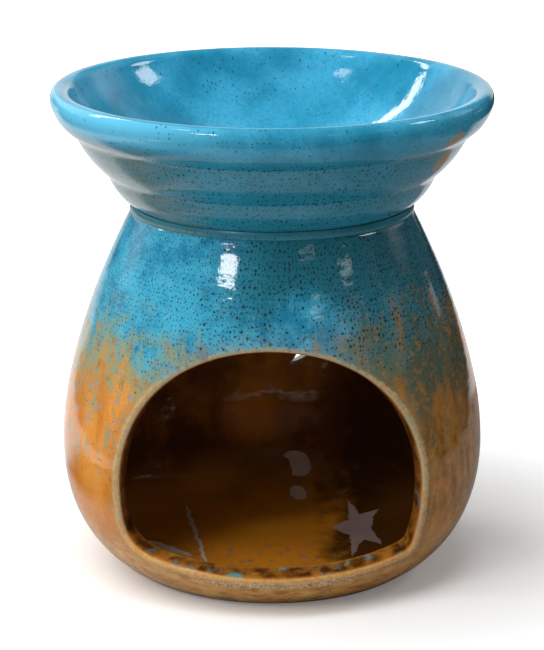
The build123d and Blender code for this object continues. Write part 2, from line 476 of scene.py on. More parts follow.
@dataclass
class Chamber:
    """Round pot with the candle arch in front and three vents behind."""

    foot_radius: float = 0.0350
    belly_radius: float = 0.0531
    belly_height: float = 0.0330
    neck_radius: float = 0.0349
    neck_height: float = 0.0933
    wall: float = 0.0050
    floor: float = 0.0050
    floor_flat_radius: float = 0.0160
    foot_ring_width: float = 0.0045
    foot_recess: float = 0.0015
    foot_round: float = 0.0007
    joint_depth: float = 0.0020
    joint_half_height: float = 0.0011
    coil_bulge: float = 0.00035
    arch_width: float = 0.0740
    arch_spring_height: float = 0.0310
    arch_top_height: float = 0.0661
    arch_shift: float = -0.0005
    sill_height: float = 0.0133
    sill_width: float = 0.0714
    arch_left_corner: float = 0.0075
    arch_right_corner: float = 0.0020
    arch_edge_round: float = 0.0012
    arch_side_slant: float = 21.0
    arch_top_slant: float = 10.0
    sill_slant: float = 17.5
    moon_radius: float = 0.0140
    moon_bite_radius: float = 0.0115
    moon_bite_offset: float = 0.0065
    moon_tilt: float = 235.0
    moon_horn_round: float = 0.0008
    moon_height: float = 0.0505
    star_radius: float = 0.0090
    star_waist_radius: float = 0.0044
    star_height: float = 0.0520
    star_angle: float = 36.0
    star_corner_round: float = 0.0010
    vent_edge_round: float = 0.0003
    foot_curve_shares: tuple[float, float, float] = (0.50, 0.14, 0.57)
    shoulder_curve_shares: tuple[float, float, float] = (0.38, 0.29, 0.17)
    cavity_curve_shares: tuple[float, float] = (0.75, 0.71)
    arch_curve_share: float = 0.57
    sill_curve_shares: tuple[float, float] = (0.45, 0.30)
    star_points: int = 5
    overrun: float = 0.0080
    horn_trim: float = 1.6
    star_trim: float = 1.5
    curve_steps: int = 240
    toe_steps: int = 12
    arch_curve_steps: int = 200
    arch_bend_steps: int = 24
    arch_points: tuple[int, int, int, int] = (12, 16, 64, 72)
    moon_points: tuple[int, int, int] = (64, 48, 6)
    star_bend_steps: int = 6
    arch_rows: tuple[int, int] = (6, 5)
    vent_rows: tuple[int, int] = (4, 4)
    cut_halvings: int = 44
    foot_bend_steps: int = 5
    floor_rings: int = 14
    columns: int = 360
    row_height: float = 0.0009
    pattern: float = 3.1

    def outside(self) -> Profile:
        """Side view of the outside, from the rounded foot to the joint under the bowl.

        Returns:
            The line of the outside.
        """
        out, up, under = self.foot_curve_shares
        width = self.belly_radius - self.foot_radius
        foot = curve_points([
            (self.foot_radius, 0.0),
            (self.foot_radius + out * width, up * self.belly_height),
            (self.belly_radius, self.belly_height * (1 - under)),
            (self.belly_radius, self.belly_height),
        ], self.curve_steps)
        rounded = foot[np.hypot(foot[:, 0] - self.foot_radius, foot[:, 1]) > self.foot_round]
        start = (self.foot_radius - self.foot_round, 0.0)
        toe = curve_points([start, tuple(foot[0]), tuple(rounded[0])], self.toe_steps)
        top = self.neck_radius + self.coil_bulge, self.neck_height - self.joint_half_height
        return Profile(np.concatenate([toe, rounded, self.shoulder(0.0, *top)]))

    def inside(self) -> Profile:
        """Side view of the inside, from the flat of the floor to the joint.

        Returns:
            The line of the inside.
        """
        out, down = self.cavity_curve_shares
        belly = self.belly_radius - self.wall
        sweep = curve_points([
            (self.floor_flat_radius, self.floor),
            (self.floor_flat_radius + out * (belly - self.floor_flat_radius), self.floor),
            (belly, self.belly_height - down * (self.belly_height - self.floor)),
            (belly, self.belly_height),
        ], self.curve_steps)
        wall = self.shoulder(self.wall, self.neck_radius - self.wall, self.neck_height)
        return Profile(np.concatenate([sweep, wall]))

    def shoulder(self, inset: float, top_radius: float, top_height: float) -> np.ndarray:
        """Belly up to the neck.

        Args:
            inset: Thickness of clay by which the line is drawn in from the outside.
            top_radius: Radius at the top of the line.
            top_height: Height of that top.

        Returns:
            One row of radius and height for each point.
        """
        rise, inwards, down = self.shoulder_curve_shares
        belly = self.belly_radius - inset
        height = top_height - self.belly_height
        return curve_points([
            (belly, self.belly_height),
            (belly, self.belly_height + rise * height),
            (top_radius + inwards * (belly - top_radius), top_height - down * height),
            (top_radius, top_height),
        ], self.curve_steps)

    def arch_outline(self, ahead: float) -> np.ndarray:
        """Front view of the arch, anticlockwise.

        Args:
            ahead: How far the plane lies ahead of the one where the arch has its stated sizes.

        Returns:
            The loop's points, one row of two values each.
        """
        gain = ahead * math.tan(math.radians(self.arch_side_slant))
        half, sill_half = self.arch_width / 2 + gain, self.sill_width / 2 + gain
        top = self.arch_top_height + ahead * math.tan(math.radians(self.arch_top_slant))
        sill = self.sill_height - ahead * math.tan(math.radians(self.sill_slant))
        spring, share = self.arch_spring_height, self.arch_curve_share
        top_share, foot_share = self.sill_curve_shares
        bend_points, lower_points, upper_points, sill_points = self.arch_points
        sides = []
        for side, corner in ((1, self.arch_right_corner), (-1, self.arch_left_corner)):
            lower = curve_points([
                (side * sill_half, sill),
                (side * sill_half, sill + foot_share * (spring - sill)),
                (side * half, spring - top_share * (spring - sill)),
                (side * half, spring),
            ], self.arch_curve_steps)
            lower = lower[lower[:, 1] >= sill + corner]
            start = (side * (sill_half - corner), sill)
            bend = curve_points([start, (side * sill_half, sill), tuple(lower[0])], self.arch_bend_steps)
            upper = curve_points([
                (side * half, spring),
                (side * half, spring + share * (top - spring)),
                (side * share * half, top),
                (0.0, top),
            ], self.arch_curve_steps)
            sides.append([
                even_points(bend, bend_points),
                even_points(lower, lower_points),
                even_points(upper, upper_points),
            ])
        sill_line = even_points(np.array([sides[1][0][0], sides[0][0][0]]), sill_points)
        right = [part[:-1] for part in sides[0]]
        left = [part[::-1][:-1] for part in reversed(sides[1])]
        loop = np.concatenate([*right, *left, sill_line[:-1]])
        return loop + np.array([self.arch_shift, 0.0])

    def moon_outline(self) -> np.ndarray:
        """Front view of the crescent, its horns blunt, anticlockwise.

        Returns:
            The loop's points about the crescent's own centre.
        """
        outer_points, inner_points, horn_points = self.moon_points
        reach, bite, offset = self.moon_radius, self.moon_bite_radius, self.moon_bite_offset
        cross = (reach ** 2 - bite ** 2 + offset ** 2) / (2 * offset)
        half_out = math.acos(cross / reach)
        half_in = math.atan2(math.sqrt(reach ** 2 - cross ** 2), cross - offset)
        trim_out = self.horn_trim * self.moon_horn_round / reach
        trim_in = self.horn_trim * self.moon_horn_round / bite
        out_angles = np.linspace(half_out + trim_out, math.tau - half_out - trim_out, outer_points)
        in_angles = np.linspace(math.tau - half_in - trim_in, half_in + trim_in, inner_points)
        outer = reach * np.stack([np.cos(out_angles), np.sin(out_angles)], axis=1)
        inner = bite * np.stack([np.cos(in_angles), np.sin(in_angles)], axis=1) + (offset, 0.0)
        horns = [np.array([cross, side * math.sqrt(reach ** 2 - cross ** 2)]) for side in (-1, 1)]
        lower = curve_points([tuple(outer[-1]), tuple(horns[0]), tuple(inner[0])], horn_points)[1:-1]
        upper = curve_points([tuple(inner[-1]), tuple(horns[1]), tuple(outer[0])], horn_points)[1:-1]
        loop = np.concatenate([outer, lower, inner, upper])
        tilt = math.radians(self.moon_tilt)
        turn = np.array([[math.cos(tilt), math.sin(tilt)], [-math.sin(tilt), math.cos(tilt)]])
        return loop @ turn

    def star_outline(self) -> np.ndarray:
        """Front view of an upright star, its corners blunt, anticlockwise.

        Returns:
            The loop's points about the star's own centre.
        """
        corners = []
        for step in range(2 * self.star_points):
            radius = self.star_waist_radius if step % 2 else self.star_radius
            angle = math.pi / 2 + step * math.pi / self.star_points
            corners.append(radius * np.array([math.cos(angle), math.sin(angle)]))
        parts = []
        for number, corner in enumerate(corners):
            before, after = corners[number - 1], corners[(number + 1) % len(corners)]
            cut_back = self.star_corner_round * self.star_trim
            ends = [corner + cut_back * (other - corner) / np.linalg.norm(other - corner)
                    for other in (before, after)]
            parts.append(
                curve_points([tuple(ends[0]), tuple(corner), tuple(ends[1])], self.star_bend_steps))
            middle = (corner + after) / 2
            parts.append(middle[None, :])
        return np.concatenate(parts)

    def openings(self, outside: Profile, inside: Profile) -> list[Opening]:
        """Cut the arch and the vents as rays through the wall.

        Args:
            outside: Side view of the outside.
            inside: Side view of the inside.

        Returns:
            The arch, the moon and the two stars.
        """
        widest = math.sqrt(self.belly_radius ** 2 - (self.arch_width / 2) ** 2)
        front, back = self.belly_radius + self.overrun, widest / 2
        ends = []
        for depth in (front, back):
            flat = self.arch_outline(depth - widest)
            ends.append(np.stack([flat[:, 0], np.full(len(flat), -depth), flat[:, 1]], axis=1))
        found = [self._cut("arch", *ends, outside, inside, self.arch_edge_round, 0.0, self.arch_rows)]
        vents = [("moon", self.moon_outline(), self.moon_height, 0.0)]
        for side in (-1, 1):
            vents.append((f"star_{side}", self.star_outline(), self.star_height, side * self.star_angle))
        for name, flat, height, turn in vents:
            ends = []
            spin = Euler((0.0, 0.0, math.radians(turn))).to_matrix()
            for depth in (front, self.belly_radius / 2):
                flat_ends = [spin @ Vector((x, depth, z + height)) for x, z in flat[::-1]]
                ends.append(np.array(flat_ends))
            angle = math.pi + math.radians(turn)
            found.append(
                self._cut(name, *ends, outside, inside, self.vent_edge_round, angle, self.vent_rows))
        return found

    def _cut(
        self,
        name: str,
        starts: np.ndarray,
        ends: np.ndarray,
        outside: Profile,
        inside: Profile,
        edge_round: float,
        angle: float,
        rows: tuple[int, int],
    ) -> Opening:
        """Find where the rays of one cut meet the two sides of the wall.

        Args:
            name: Name of the opening.
            starts: Where the rays start, outside the wall.
            ends: Where they end, in the hollow.
            outside: Side view of the outside.
            inside: Side view of the inside.
            edge_round: Radius of the opening's edges.
            angle: Angle of its middle round the axis.
            rows: Steps over each rounded edge, and between the two edges.

        Returns:
            The opening with its two loops.
        """
        loops = []
        for profile in (outside, inside):
            near, far = np.zeros(len(starts)), np.ones(len(starts))
            for _ in range(self.cut_halvings):
                middle = (near + far) / 2
                places = starts + middle[:, None] * (ends - starts)
                beyond = np.hypot(places[:, 0], places[:, 1]) > profile.radius_at(places[:, 2])
                near, far = np.where(beyond, middle, near), np.where(beyond, far, middle)
            loops.append(starts + near[:, None] * (ends - starts))
        return Opening(name, *loops, edge_round, angle, *rows)

    @staticmethod
    def _rounded_rows(opening: Opening, outside: Profile, inside: Profile) -> list[np.ndarray]:
        """Line one opening from skin to skin, with both edges rounded.

        Args:
            opening: The opening.
            outside: Side view of the outside.
            inside: Side view of the inside.

        Returns:
            Point loops from the outside to the inside.
        """
        turned = []
        for loop, other, profile, sign in (
            (opening.outer, opening.inner, outside, 1.0), (opening.inner, opening.outer, inside, -1.0)
        ):
            out, up = profile.facing(profile.run_at(loop[:, 2]))
            flat = loop[:, :2] / np.linalg.norm(loop[:, :2], axis=1)[:, None]
            facing = sign * np.column_stack([flat * out[:, None], up])
            along = np.roll(loop, -1, axis=0) - np.roll(loop, 1, axis=0)
            along /= np.linalg.norm(along, axis=1)[:, None]
            away = np.cross(along, facing)
            away *= np.sign(np.einsum("ij,ij->i", away, loop - loop.mean(axis=0)).sum())
            away /= np.linalg.norm(away, axis=1)[:, None]
            deep = other - loop
            deep -= np.einsum("ij,ij->i", deep, along)[:, None] * along
            deep /= np.linalg.norm(deep, axis=1)[:, None]
            half = np.arccos(np.clip(np.einsum("ij,ij->i", away, deep), -1, 1)) / 2
            reach = (opening.edge_round / np.tan(half))[:, None]
            bisector = away + deep
            bisector /= np.linalg.norm(bisector, axis=1)[:, None]
            centre = loop + bisector * (opening.edge_round / np.sin(half))[:, None]
            spokes = [loop + away * reach - centre, loop + deep * reach - centre]
            sweep = (math.pi - 2 * half)[:, None]
            rows = []
            for step in range(opening.arc_steps + 1):
                share = step / opening.arc_steps
                first = np.sin((1 - share) * sweep) * spokes[0]
                rows.append(centre + (first + np.sin(share * sweep) * spokes[1]) / np.sin(sweep))
            radius = profile.radius_at(rows[0][:, 2])
            rows[0][:, :2] *= (radius / np.linalg.norm(rows[0][:, :2], axis=1))[:, None]
            turned.append(rows)
        shares = np.linspace(0.0, 1.0, opening.depth_steps + 1)[1:-1]
        between = [(1 - s) * turned[0][-1] + s * turned[1][-1] for s in shares]
        return turned[0] + between + turned[1][::-1]

    def build(self) -> bpy.types.Object:
        """Make the closed mesh of the pot.

        Returns:
            The chamber's object, without a material.
        """
        outside, inside = self.outside(), self.inside()
        cuts = self.openings(outside, inside)
        rows = [self._rounded_rows(cut, outside, inside) for cut in cuts]
        wall = WallMesh(self.columns)
        outer_loops = [(cut.centre_angle, row[0]) for cut, row in zip(cuts, rows)]
        inner_loops = [(cut.centre_angle, row[-1]) for cut, row in zip(cuts, rows)]
        outer_rings, outer_holes = wall.skin(outside, round(outside.length / self.row_height),
                                             outer_loops, 0.0)
        inner_rings, inner_holes = wall.skin(inside, round(inside.length / self.row_height),
                                             inner_loops, 1.0)
        wall.measure_edges([
            (outer_rings, [row[0] for row in rows], False),
            (inner_rings, [row[-1] for row in rows], True),
        ])
        for cut, row, outer, inner in zip(cuts, rows, outer_holes, inner_holes):
            wall.line_opening(cut, row, outer, inner)
        self._close_top(wall, outer_rings[-1], inner_rings[-1])
        self._close_foot(wall, outer_rings[0])
        self._close_floor(wall, inner_rings[0])
        return wall.finish("chamber_pot", Handwork(), self.pattern)

    def _close_top(self, wall: WallMesh, outer: list[int], inner: list[int]) -> None:
        """Cut the neck back to its half of the V and out to the inside.

        Args:
            wall: The pot's mesh.
            outer: Top ring of the outside.
            inner: Top ring of the inside.
        """
        seat = wall.ring(self.neck_radius - self.joint_depth, self.neck_height, 0.0)
        wall.bridge(outer, seat)
        wall.bridge(seat, inner)

    def _close_foot(self, wall: WallMesh, outer: list[int]) -> None:
        """Close the outside with the dry ring, its recess and the bottom.

        Args:
            wall: The pot's mesh.
            outer: Lowest ring of the outside.
        """
        inner_edge = self.foot_radius - self.foot_ring_width
        line = [(inner_edge, 0.0), *curve_points([
            (inner_edge, self.foot_recess / 3), (inner_edge, self.foot_recess),
            (inner_edge - self.foot_recess, self.foot_recess),
        ], self.foot_bend_steps)]
        line += [(share * (inner_edge - self.foot_recess), self.foot_recess) for share in (0.75, 0.5,
                                                                                           0.25)]
        previous = outer
        for radius, height in line:
            current = wall.ring(radius, height, 0.0)
            wall.bridge(previous, current)
            previous = current
        wall.cap(previous, (0.0, 0.0, self.foot_recess), 0.0)

    def _close_floor(self, wall: WallMesh, edge: list[int]) -> None:
        """Close the inside with the flat of the floor, in rings towards its centre.

        Args:
            wall: The pot's mesh.
            edge: Lowest ring of the inside.
        """
        previous = edge
        for share in np.linspace(1.0, 0.0, self.floor_rings)[1:-1]:
            current = wall.ring(float(share) * self.floor_flat_radius, self.floor, 1.0)
            wall.bridge(previous, current)
            previous = current
        wall.cap(previous, (0.0, 0.0, self.floor), 1.0)


@dataclass
class OilBowl:
    """Shallow dish with turned ribs under a rolled lip."""

    neck_radius: float = 0.0349
    neck_height: float = 0.0933
    rim_radius: float = 0.0550
    height: float = 0.0300
    bottom: float = 0.0057
    rib_bulge: float = 0.0008
    crest_inset: float = 0.0020
    lip_width: float = 0.0046
    rim_drop: float = 0.0029
    inner_drop: float = 0.0007
    lip_round_share: float = 0.55
    groove_shares: tuple[tuple[float, float], ...] = ((0.31, 0.293), (0.706, 0.637), (0.97, 0.833))
    well_shares: tuple[float, float, float] = (0.137, 0.576, 0.615)
    joint_depth: float = 0.0020
    joint_half_height: float = 0.0011
    coil_bulge: float = 0.00035
    groove_fill: float = 0.00045
    joint_steps: int = 8
    rib_steps: int = 40
    lip_steps: int = 30
    lip_inner_steps: int = 20
    well_steps: int = 200
    columns: int = 384
    row_height: float = 0.0008
    inwards: float = 0.05 * MILLIMETRE
    pattern: float = 8.4

    def grooves(self) -> list[tuple[float, float]]:
        """Find the three grooves under the rim.

        Returns:
            Radius and height of each, the lowest first.
        """
        gain = self.rim_radius - self.neck_radius
        return [(self.neck_radius + out * gain, self.neck_height + up * self.height)
                for out, up in self.groove_shares]

    def under(self) -> Profile:
        """Side view from the seat on the joint, over the ribs and the crest, into the well.

        Returns:
            The line of the whole dish.
        """
        top = self.neck_height + self.height
        v_top = (self.neck_radius + self.coil_bulge, self.neck_height + self.joint_half_height)
        stops = [np.array(stop) for stop in (v_top, *self.grooves())]
        seat = (self.neck_radius - self.joint_depth, self.neck_height)
        parts = [curve_points([seat, v_top], self.joint_steps)]
        for low, high in zip(stops, stops[1:]):
            run, rise = high - low
            bulge = self.rib_bulge * np.array([rise, -run]) / math.hypot(run, rise)
            parts.append(arc_points(low, (low + high) / 2 + bulge, high, self.rib_steps))
        groove, rim = stops[-1], (self.rim_radius, top - self.rim_drop)
        crest = (self.rim_radius - self.crest_inset, top)
        mouth = (self.rim_radius - self.lip_width, top - self.inner_drop)
        share = self.lip_round_share
        over = crest[0] + share * self.crest_inset, rim[1] + share * self.rim_drop
        under_rim = (rim[0], groove[1] + share * (rim[1] - groove[1]))
        parts.append(curve_points([tuple(groove), under_rim, rim], self.lip_steps))
        parts.append(curve_points([rim, (rim[0], over[1]), (over[0], crest[1]), crest], self.lip_steps))
        inner_handle = (crest[0] - share * (crest[0] - mouth[0]), crest[1])
        parts.append(curve_points([crest, inner_handle, mouth], self.lip_inner_steps))
        well_height = self.neck_height + self.bottom
        depth = mouth[1] - well_height
        inwards, down, level = self.well_shares
        parts.append(curve_points([
            mouth,
            (mouth[0] * (1 - inwards), mouth[1] - down * depth),
            (level * mouth[0], well_height),
            (0.0, well_height),
        ], self.well_steps))
        return Profile(np.concatenate(parts))

    def build(self) -> bpy.types.Object:
        """Make the closed mesh of the bowl.

        Returns:
            The bowl's object, without a material.
        """
        profile = self.under().softened(self.groove_fill, self.groove_fill / 4)
        dish = WallMesh(self.columns)
        rows = round(profile.length / self.row_height)
        runs = np.linspace(0.0, profile.length, rows + 1)[:-1]
        rings = [dish.ring(*map(float, profile.place(run)), 0.0) for run in runs]
        for lower, upper in zip(rings, rings[1:]):
            dish.bridge(lower, upper)
        dish.cap(rings[-1], (0.0, 0.0, self.neck_height + self.bottom), 0.0)
        previous = rings[0]
        for share in (0.8, 0.6, 0.4, 0.2):
            current = dish.ring(share * (self.neck_radius - self.joint_depth), self.neck_height, 0.0)
            dish.bridge(previous, current)
            previous = current
        dish.cap(previous, (0.0, 0.0, self.neck_height), 0.0)
        return dish.finish("bowl_dish", Handwork(inwards=self.inwards), self.pattern)


@dataclass
class LutingCoil:
    """Bead of clay round the neck, where the bowl is joined to the pot."""

    neck_radius: float = 0.0349
    neck_height: float = 0.0933
    joint_depth: float = 0.0020
    joint_half_height: float = 0.0011
    bulge: float = 0.00035
    crown_steps: int = 12
    columns: int = 288
    sway: float = 0.03 * MILLIMETRE
    pattern: float = 5.2

    def build(self) -> bpy.types.Object:
        """Make the closed ring of the coil.

        Returns:
            The coil's object, without a material.
        """
        apex = np.array([self.neck_radius - self.joint_depth, self.neck_height])
        low = np.array([self.neck_radius + self.bulge, self.neck_height - self.joint_half_height])
        high = np.array([low[0], self.neck_height + self.joint_half_height])
        crown = np.array([self.neck_radius + 2 * self.bulge, self.neck_height])
        section = np.concatenate([apex[None, :], arc_points(low, crown, high, self.crown_steps)])
        bead = WallMesh(self.columns)
        rings = [bead.ring(float(radius), float(height), 0.0) for radius, height in section]
        for lower, upper in zip(rings, rings[1:] + rings[:1]):
            bead.bridge(lower, upper)
        return bead.finish("neck_bead", Handwork(sway=self.sway, ring=0.0), self.pattern)


class Wiring:
    """Adds nodes to a shader tree. An input takes a plain value or another node's output."""

    def __init__(self, tree: bpy.types.NodeTree) -> None:
        """Work on one tree."""
        self.tree = tree

    def node(
        self, kind: str, inputs: dict[str, object] | None = None, **settings: object
    ) -> bpy.types.Node:
        """Add a node.

        Args:
            kind: The node's type.
            inputs: Values or outputs by input identifier or name.
            settings: The node's own settings.

        Returns:
            The new node.
        """
        node = self.tree.nodes.new(kind)
        for key, value in settings.items():
            setattr(node, key, value)
        for key, value in (inputs or {}).items():
            found = [socket for socket in node.inputs if key in (socket.identifier, socket.name)]
            socket = next((s for s in found if s.identifier == key), found[0])
            if isinstance(value, Socket):
                self.tree.links.new(value, socket)
            else:
                socket.default_value = value
        return node

    def maths(self, operation: str, first: object, second: object = 0.0) -> Socket:
        """Output of a Math node."""
        inputs = {"Value": first, "Value_001": second}
        return self.node("ShaderNodeMath", inputs, operation=operation).outputs[0]

    def _chain(self, operation: str, values: tuple[object, ...]) -> Socket:
        """Put one operation between values, from the first to the last.

        Args:
            operation: The Math node's operation.
            values: Two or more values or outputs.

        Returns:
            Output of the last node.
        """
        result = values[0]
        for value in values[1:]:
            result = self.maths(operation, result, value)
        return result

    def product(self, *values: object) -> Socket:
        """Values multiplied."""
        return self._chain("MULTIPLY", values)

    def total(self, *values: object) -> Socket:
        """Values added."""
        return self._chain("ADD", values)

    def most(self, *values: object) -> Socket:
        """The largest of the values."""
        return self._chain("MAXIMUM", values)

    def flip(self, value: object) -> Socket:
        """One less the value."""
        return self.maths("SUBTRACT", 1.0, value)

    def swing(self, value: object, amount: object) -> Socket:
        """Noise from 0 to 1 made to swing about 0, times an amount."""
        return self.maths("MULTIPLY", self.maths("SUBTRACT", value, 0.5), amount)

    def vector(
        self, operation: str, first: object, second: object = (0.0, 0.0, 0.0)
    ) -> Socket:
        """Vector output of a Vector Math node."""
        inputs = {"Vector": first, "Vector_001": second}
        return self.node("ShaderNodeVectorMath", inputs, operation=operation).outputs[0]

    def distance(self, place: object, spot: object) -> Socket:
        """Distance of a place from a spot."""
        inputs = {"Vector": place, "Vector_001": spot}
        return self.node("ShaderNodeVectorMath", inputs, operation="DISTANCE").outputs["Value"]

    def ease(
        self, value: object, low: object, high: object, start: float = 0.0, end: float = 1.0
    ) -> Socket:
        """A smooth step from start to end while a value goes from low to high."""
        inputs = {"Value": value, "From Min": low, "From Max": high, "To Min": start, "To Max": end}
        return self.node("ShaderNodeMapRange", inputs, interpolation_type="SMOOTHSTEP").outputs[0]

    def blend(self, share: object, first: object, second: object) -> Socket:
        """Colour that goes from one to another.

        Args:
            share: 0 for the first colour, 1 for the second.
            first: The first colour.
            second: The second colour.

        Returns:
            The blended colour.
        """
        inputs = {"Factor_Float": share, "A_Color": first, "B_Color": second}
        node = self.node("ShaderNodeMix", inputs, data_type="RGBA", blend_type="MIX")
        return next(socket for socket in node.outputs if socket.identifier == "Result_Color")

    def noise(
        self, place: object, size: float, detail: float = 3.0, rough: float = 0.55
    ) -> Socket:
        """Noise from 0 to 1 whose patches measure about size metres."""
        inputs = {"Vector": place, "Scale": 1.0 / size, "Detail": detail, "Roughness": rough}
        return self.node("ShaderNodeTexNoise", inputs).outputs["Fac"]

    def coordinates(self, name: str) -> Socket:
        """One of the texture coordinates."""
        return self.node("ShaderNodeTexCoord").outputs[name]

    def split(self, place: object) -> bpy.types.Node:
        """Node that separates a vector into its three parts."""
        return self.node("ShaderNodeSeparateXYZ", {"Vector": place})

    def attribute(self, name: str) -> Socket:
        """A point attribute of the mesh as a value."""
        return self.node("ShaderNodeAttribute", attribute_name=name).outputs["Fac"]

    def use(self, group: bpy.types.NodeTree, inputs: dict[str, object]) -> bpy.types.Node:
        """Place a node group.

        Args:
            group: The node group.
            inputs: Values or outputs by input name.

        Returns:
            The new group node.
        """
        node = self.tree.nodes.new("ShaderNodeGroup")
        node.node_tree = group
        for key, value in inputs.items():
            if isinstance(value, Socket):
                self.tree.links.new(value, node.inputs[key])
            else:
                node.inputs[key].default_value = value
        return node


class SocketKind(Enum):
    """Kinds of group sockets."""

    VALUE = "NodeSocketFloat"
    VECTOR = "NodeSocketVector"
    COLOUR = "NodeSocketColor"


def new_group(
    name: str, inputs: dict[str, tuple[SocketKind, object]], outputs: dict[str, SocketKind]
) -> tuple[bpy.types.NodeTree, Wiring, bpy.types.Node, bpy.types.Node]:
    """Start a shader node group.

    Args:
        name: Name of the group.
        inputs: Kind and default of each input.
        outputs: Kind of each output.

    Returns:
        The group, its wiring, and its input and output nodes.
    """
    group = bpy.data.node_groups.new(name, "ShaderNodeTree")
    for key, (kind, default) in inputs.items():
        socket = group.interface.new_socket(name=key, in_out="INPUT", socket_type=kind.value)
        socket.default_value = default
    for key, kind in outputs.items():
        group.interface.new_socket(name=key, in_out="OUTPUT", socket_type=kind.value)
    wiring = Wiring(group)
    return group, wiring, group.nodes.new("NodeGroupInput"), group.nodes.new("NodeGroupOutput")


class GlazeEffects:
    """The node groups that the glazes share."""

    DOT_RADIUS = 0.045
    RUN_RADIUS = 0.048

    def __init__(self) -> None:
        """Build each group once."""
        self.speckle = self._speckle()
        self.runs = self._runs()
        self.peel = self._peel()
        self.spots = self._spots()

    @staticmethod
    def _speckle() -> bpy.types.NodeTree:
        """Iron dots, evenly scattered over the wall or a level surface, soft at the edge.

        Returns:
            The node group.
        """
        group, w, given, result = new_group("iron_speckle", {
            "Place": (SocketKind.VECTOR, (0.0, 0.0, 0.0)),
            "Level": (SocketKind.VALUE, 0.0),
            "Spacing": (SocketKind.VALUE, 0.0012),
            "Size": (SocketKind.VALUE, 0.00025),
            "Presence": (SocketKind.VALUE, 1.0),
        }, {"Mask": SocketKind.VALUE})
        parts = w.split(given.outputs["Place"])
        angle = w.maths("ARCTAN2", parts.outputs[0], w.product(parts.outputs[1], -1.0))
        arc = w.product(angle, GlazeEffects.DOT_RADIUS)
        wall = w.node("ShaderNodeCombineXYZ", {"X": arc, "Y": parts.outputs[2]})
        flat = w.node("ShaderNodeMix",
                      {"Factor_Float": given.outputs["Level"], "A_Vector": wall.outputs[0],
                       "B_Vector": given.outputs["Place"]}, data_type="VECTOR")
        spread = next(socket for socket in flat.outputs if socket.identifier == "Result_Vector")
        cells = w.node("ShaderNodeTexVoronoi",
                       {"Vector": spread, "Scale": w.maths("DIVIDE", 1.0, given.outputs["Spacing"]),
                        "Randomness": 0.72}, voronoi_dimensions="2D")
        apart = w.product(cells.outputs["Distance"], given.outputs["Spacing"])
        chance = w.node("ShaderNodeSeparateColor", {"Color": cells.outputs["Color"]})
        uneven = w.total(w.product(w.maths("POWER", chance.outputs[0], 2.0), 0.7), 0.65)
        size = w.product(given.outputs["Size"], uneven)
        dot = w.ease(apart, w.product(size, 0.45), w.product(size, 1.25), 1.0, 0.0)
        kept = w.maths("LESS_THAN", chance.outputs[1], given.outputs["Presence"])
        w.tree.links.new(w.product(dot, kept), result.inputs["Mask"])
        return group

    @staticmethod
    def _runs() -> bpy.types.NodeTree:
        """Streaks where glaze ran down the wall, the same all round with no seam.

        Returns:
            The node group.
        """
        group, w, given, result = new_group("glaze_runs", {
            "Place": (SocketKind.VECTOR, (0.0, 0.0, 0.0)),
            "Width": (SocketKind.VALUE, 0.003),
            "Stretch": (SocketKind.VALUE, 6.0),
        }, {"Streaks": SocketKind.VALUE, "Patches": SocketKind.VALUE})
        parts = w.split(given.outputs["Place"])
        flat = w.node("ShaderNodeCombineXYZ", {"X": parts.outputs[0], "Y": parts.outputs[1]})
        outwards = w.vector("NORMALIZE", flat.outputs[0])
        inputs = {"Vector": outwards, "Scale": GlazeEffects.RUN_RADIUS}
        reach = w.node("ShaderNodeVectorMath", inputs, operation="SCALE")
        climb = w.maths("DIVIDE", parts.outputs[2], given.outputs["Stretch"])
        lift = w.node("ShaderNodeCombineXYZ", {"Z": climb})
        place = w.vector("ADD", reach.outputs[0], lift.outputs[0])
        scale = w.maths("DIVIDE", 1.0, given.outputs["Width"])
        fine = w.node("ShaderNodeTexNoise",
                      {"Vector": place, "Scale": scale, "Detail": 4.0, "Roughness": 0.6})
        wide = w.node("ShaderNodeTexNoise",
                      {"Vector": place, "Scale": w.product(scale, 0.3), "Detail": 2.0,
                       "Roughness": 0.5})
        w.tree.links.new(fine.outputs["Fac"], result.inputs["Streaks"])
        w.tree.links.new(wide.outputs["Fac"], result.inputs["Patches"])
        return group

    @staticmethod
    def _peel() -> bpy.types.NodeTree:
        """Height of a fired glaze: slow waves, orange peel and fine pits, in metres.

        Returns:
            The node group.
        """
        group, w, given, result = new_group("glaze_skin", {
            "Place": (SocketKind.VECTOR, (0.0, 0.0, 0.0)),
            "Wave": (SocketKind.VALUE, 0.00004),
            "Peel": (SocketKind.VALUE, 0.000024),
            "Pits": (SocketKind.VALUE, 0.000006),
        }, {"Height": SocketKind.VALUE})
        wave = w.noise(given.outputs["Place"], 0.006, 1.0, 0.4)
        peel = w.noise(given.outputs["Place"], 0.0014, 1.0, 0.6)
        pits = w.noise(given.outputs["Place"], 0.0005, 1.0, 0.5)
        height = w.total(w.product(wave, given.outputs["Wave"]), w.product(peel, given.outputs["Peel"]))
        height = w.total(height, w.product(pits, given.outputs["Pits"]))
        w.tree.links.new(height, result.inputs["Height"])
        return group

    @staticmethod
    def _spots() -> bpy.types.NodeTree:
        """Blurred flecks of one glaze floating in another.

        Returns:
            The node group.
        """
        group, w, given, result = new_group("glaze_flecks", {
            "Place": (SocketKind.VECTOR, (0.0, 0.0, 0.0)),
            "Size": (SocketKind.VALUE, 0.003),
            "Share": (SocketKind.VALUE, 0.3),
        }, {"Mask": SocketKind.VALUE})
        scale = w.maths("DIVIDE", 1.0, given.outputs["Size"])
        field = w.node("ShaderNodeTexNoise", {
            "Vector": given.outputs["Place"], "Scale": scale, "Detail": 3.0, "Roughness": 0.6
        })
        level = w.maths("SUBTRACT", 0.72, w.product(given.outputs["Share"], 0.4))
        w.tree.links.new(w.ease(field.outputs["Fac"], level, w.total(level, 0.17)),
                         result.inputs["Mask"])
        return group


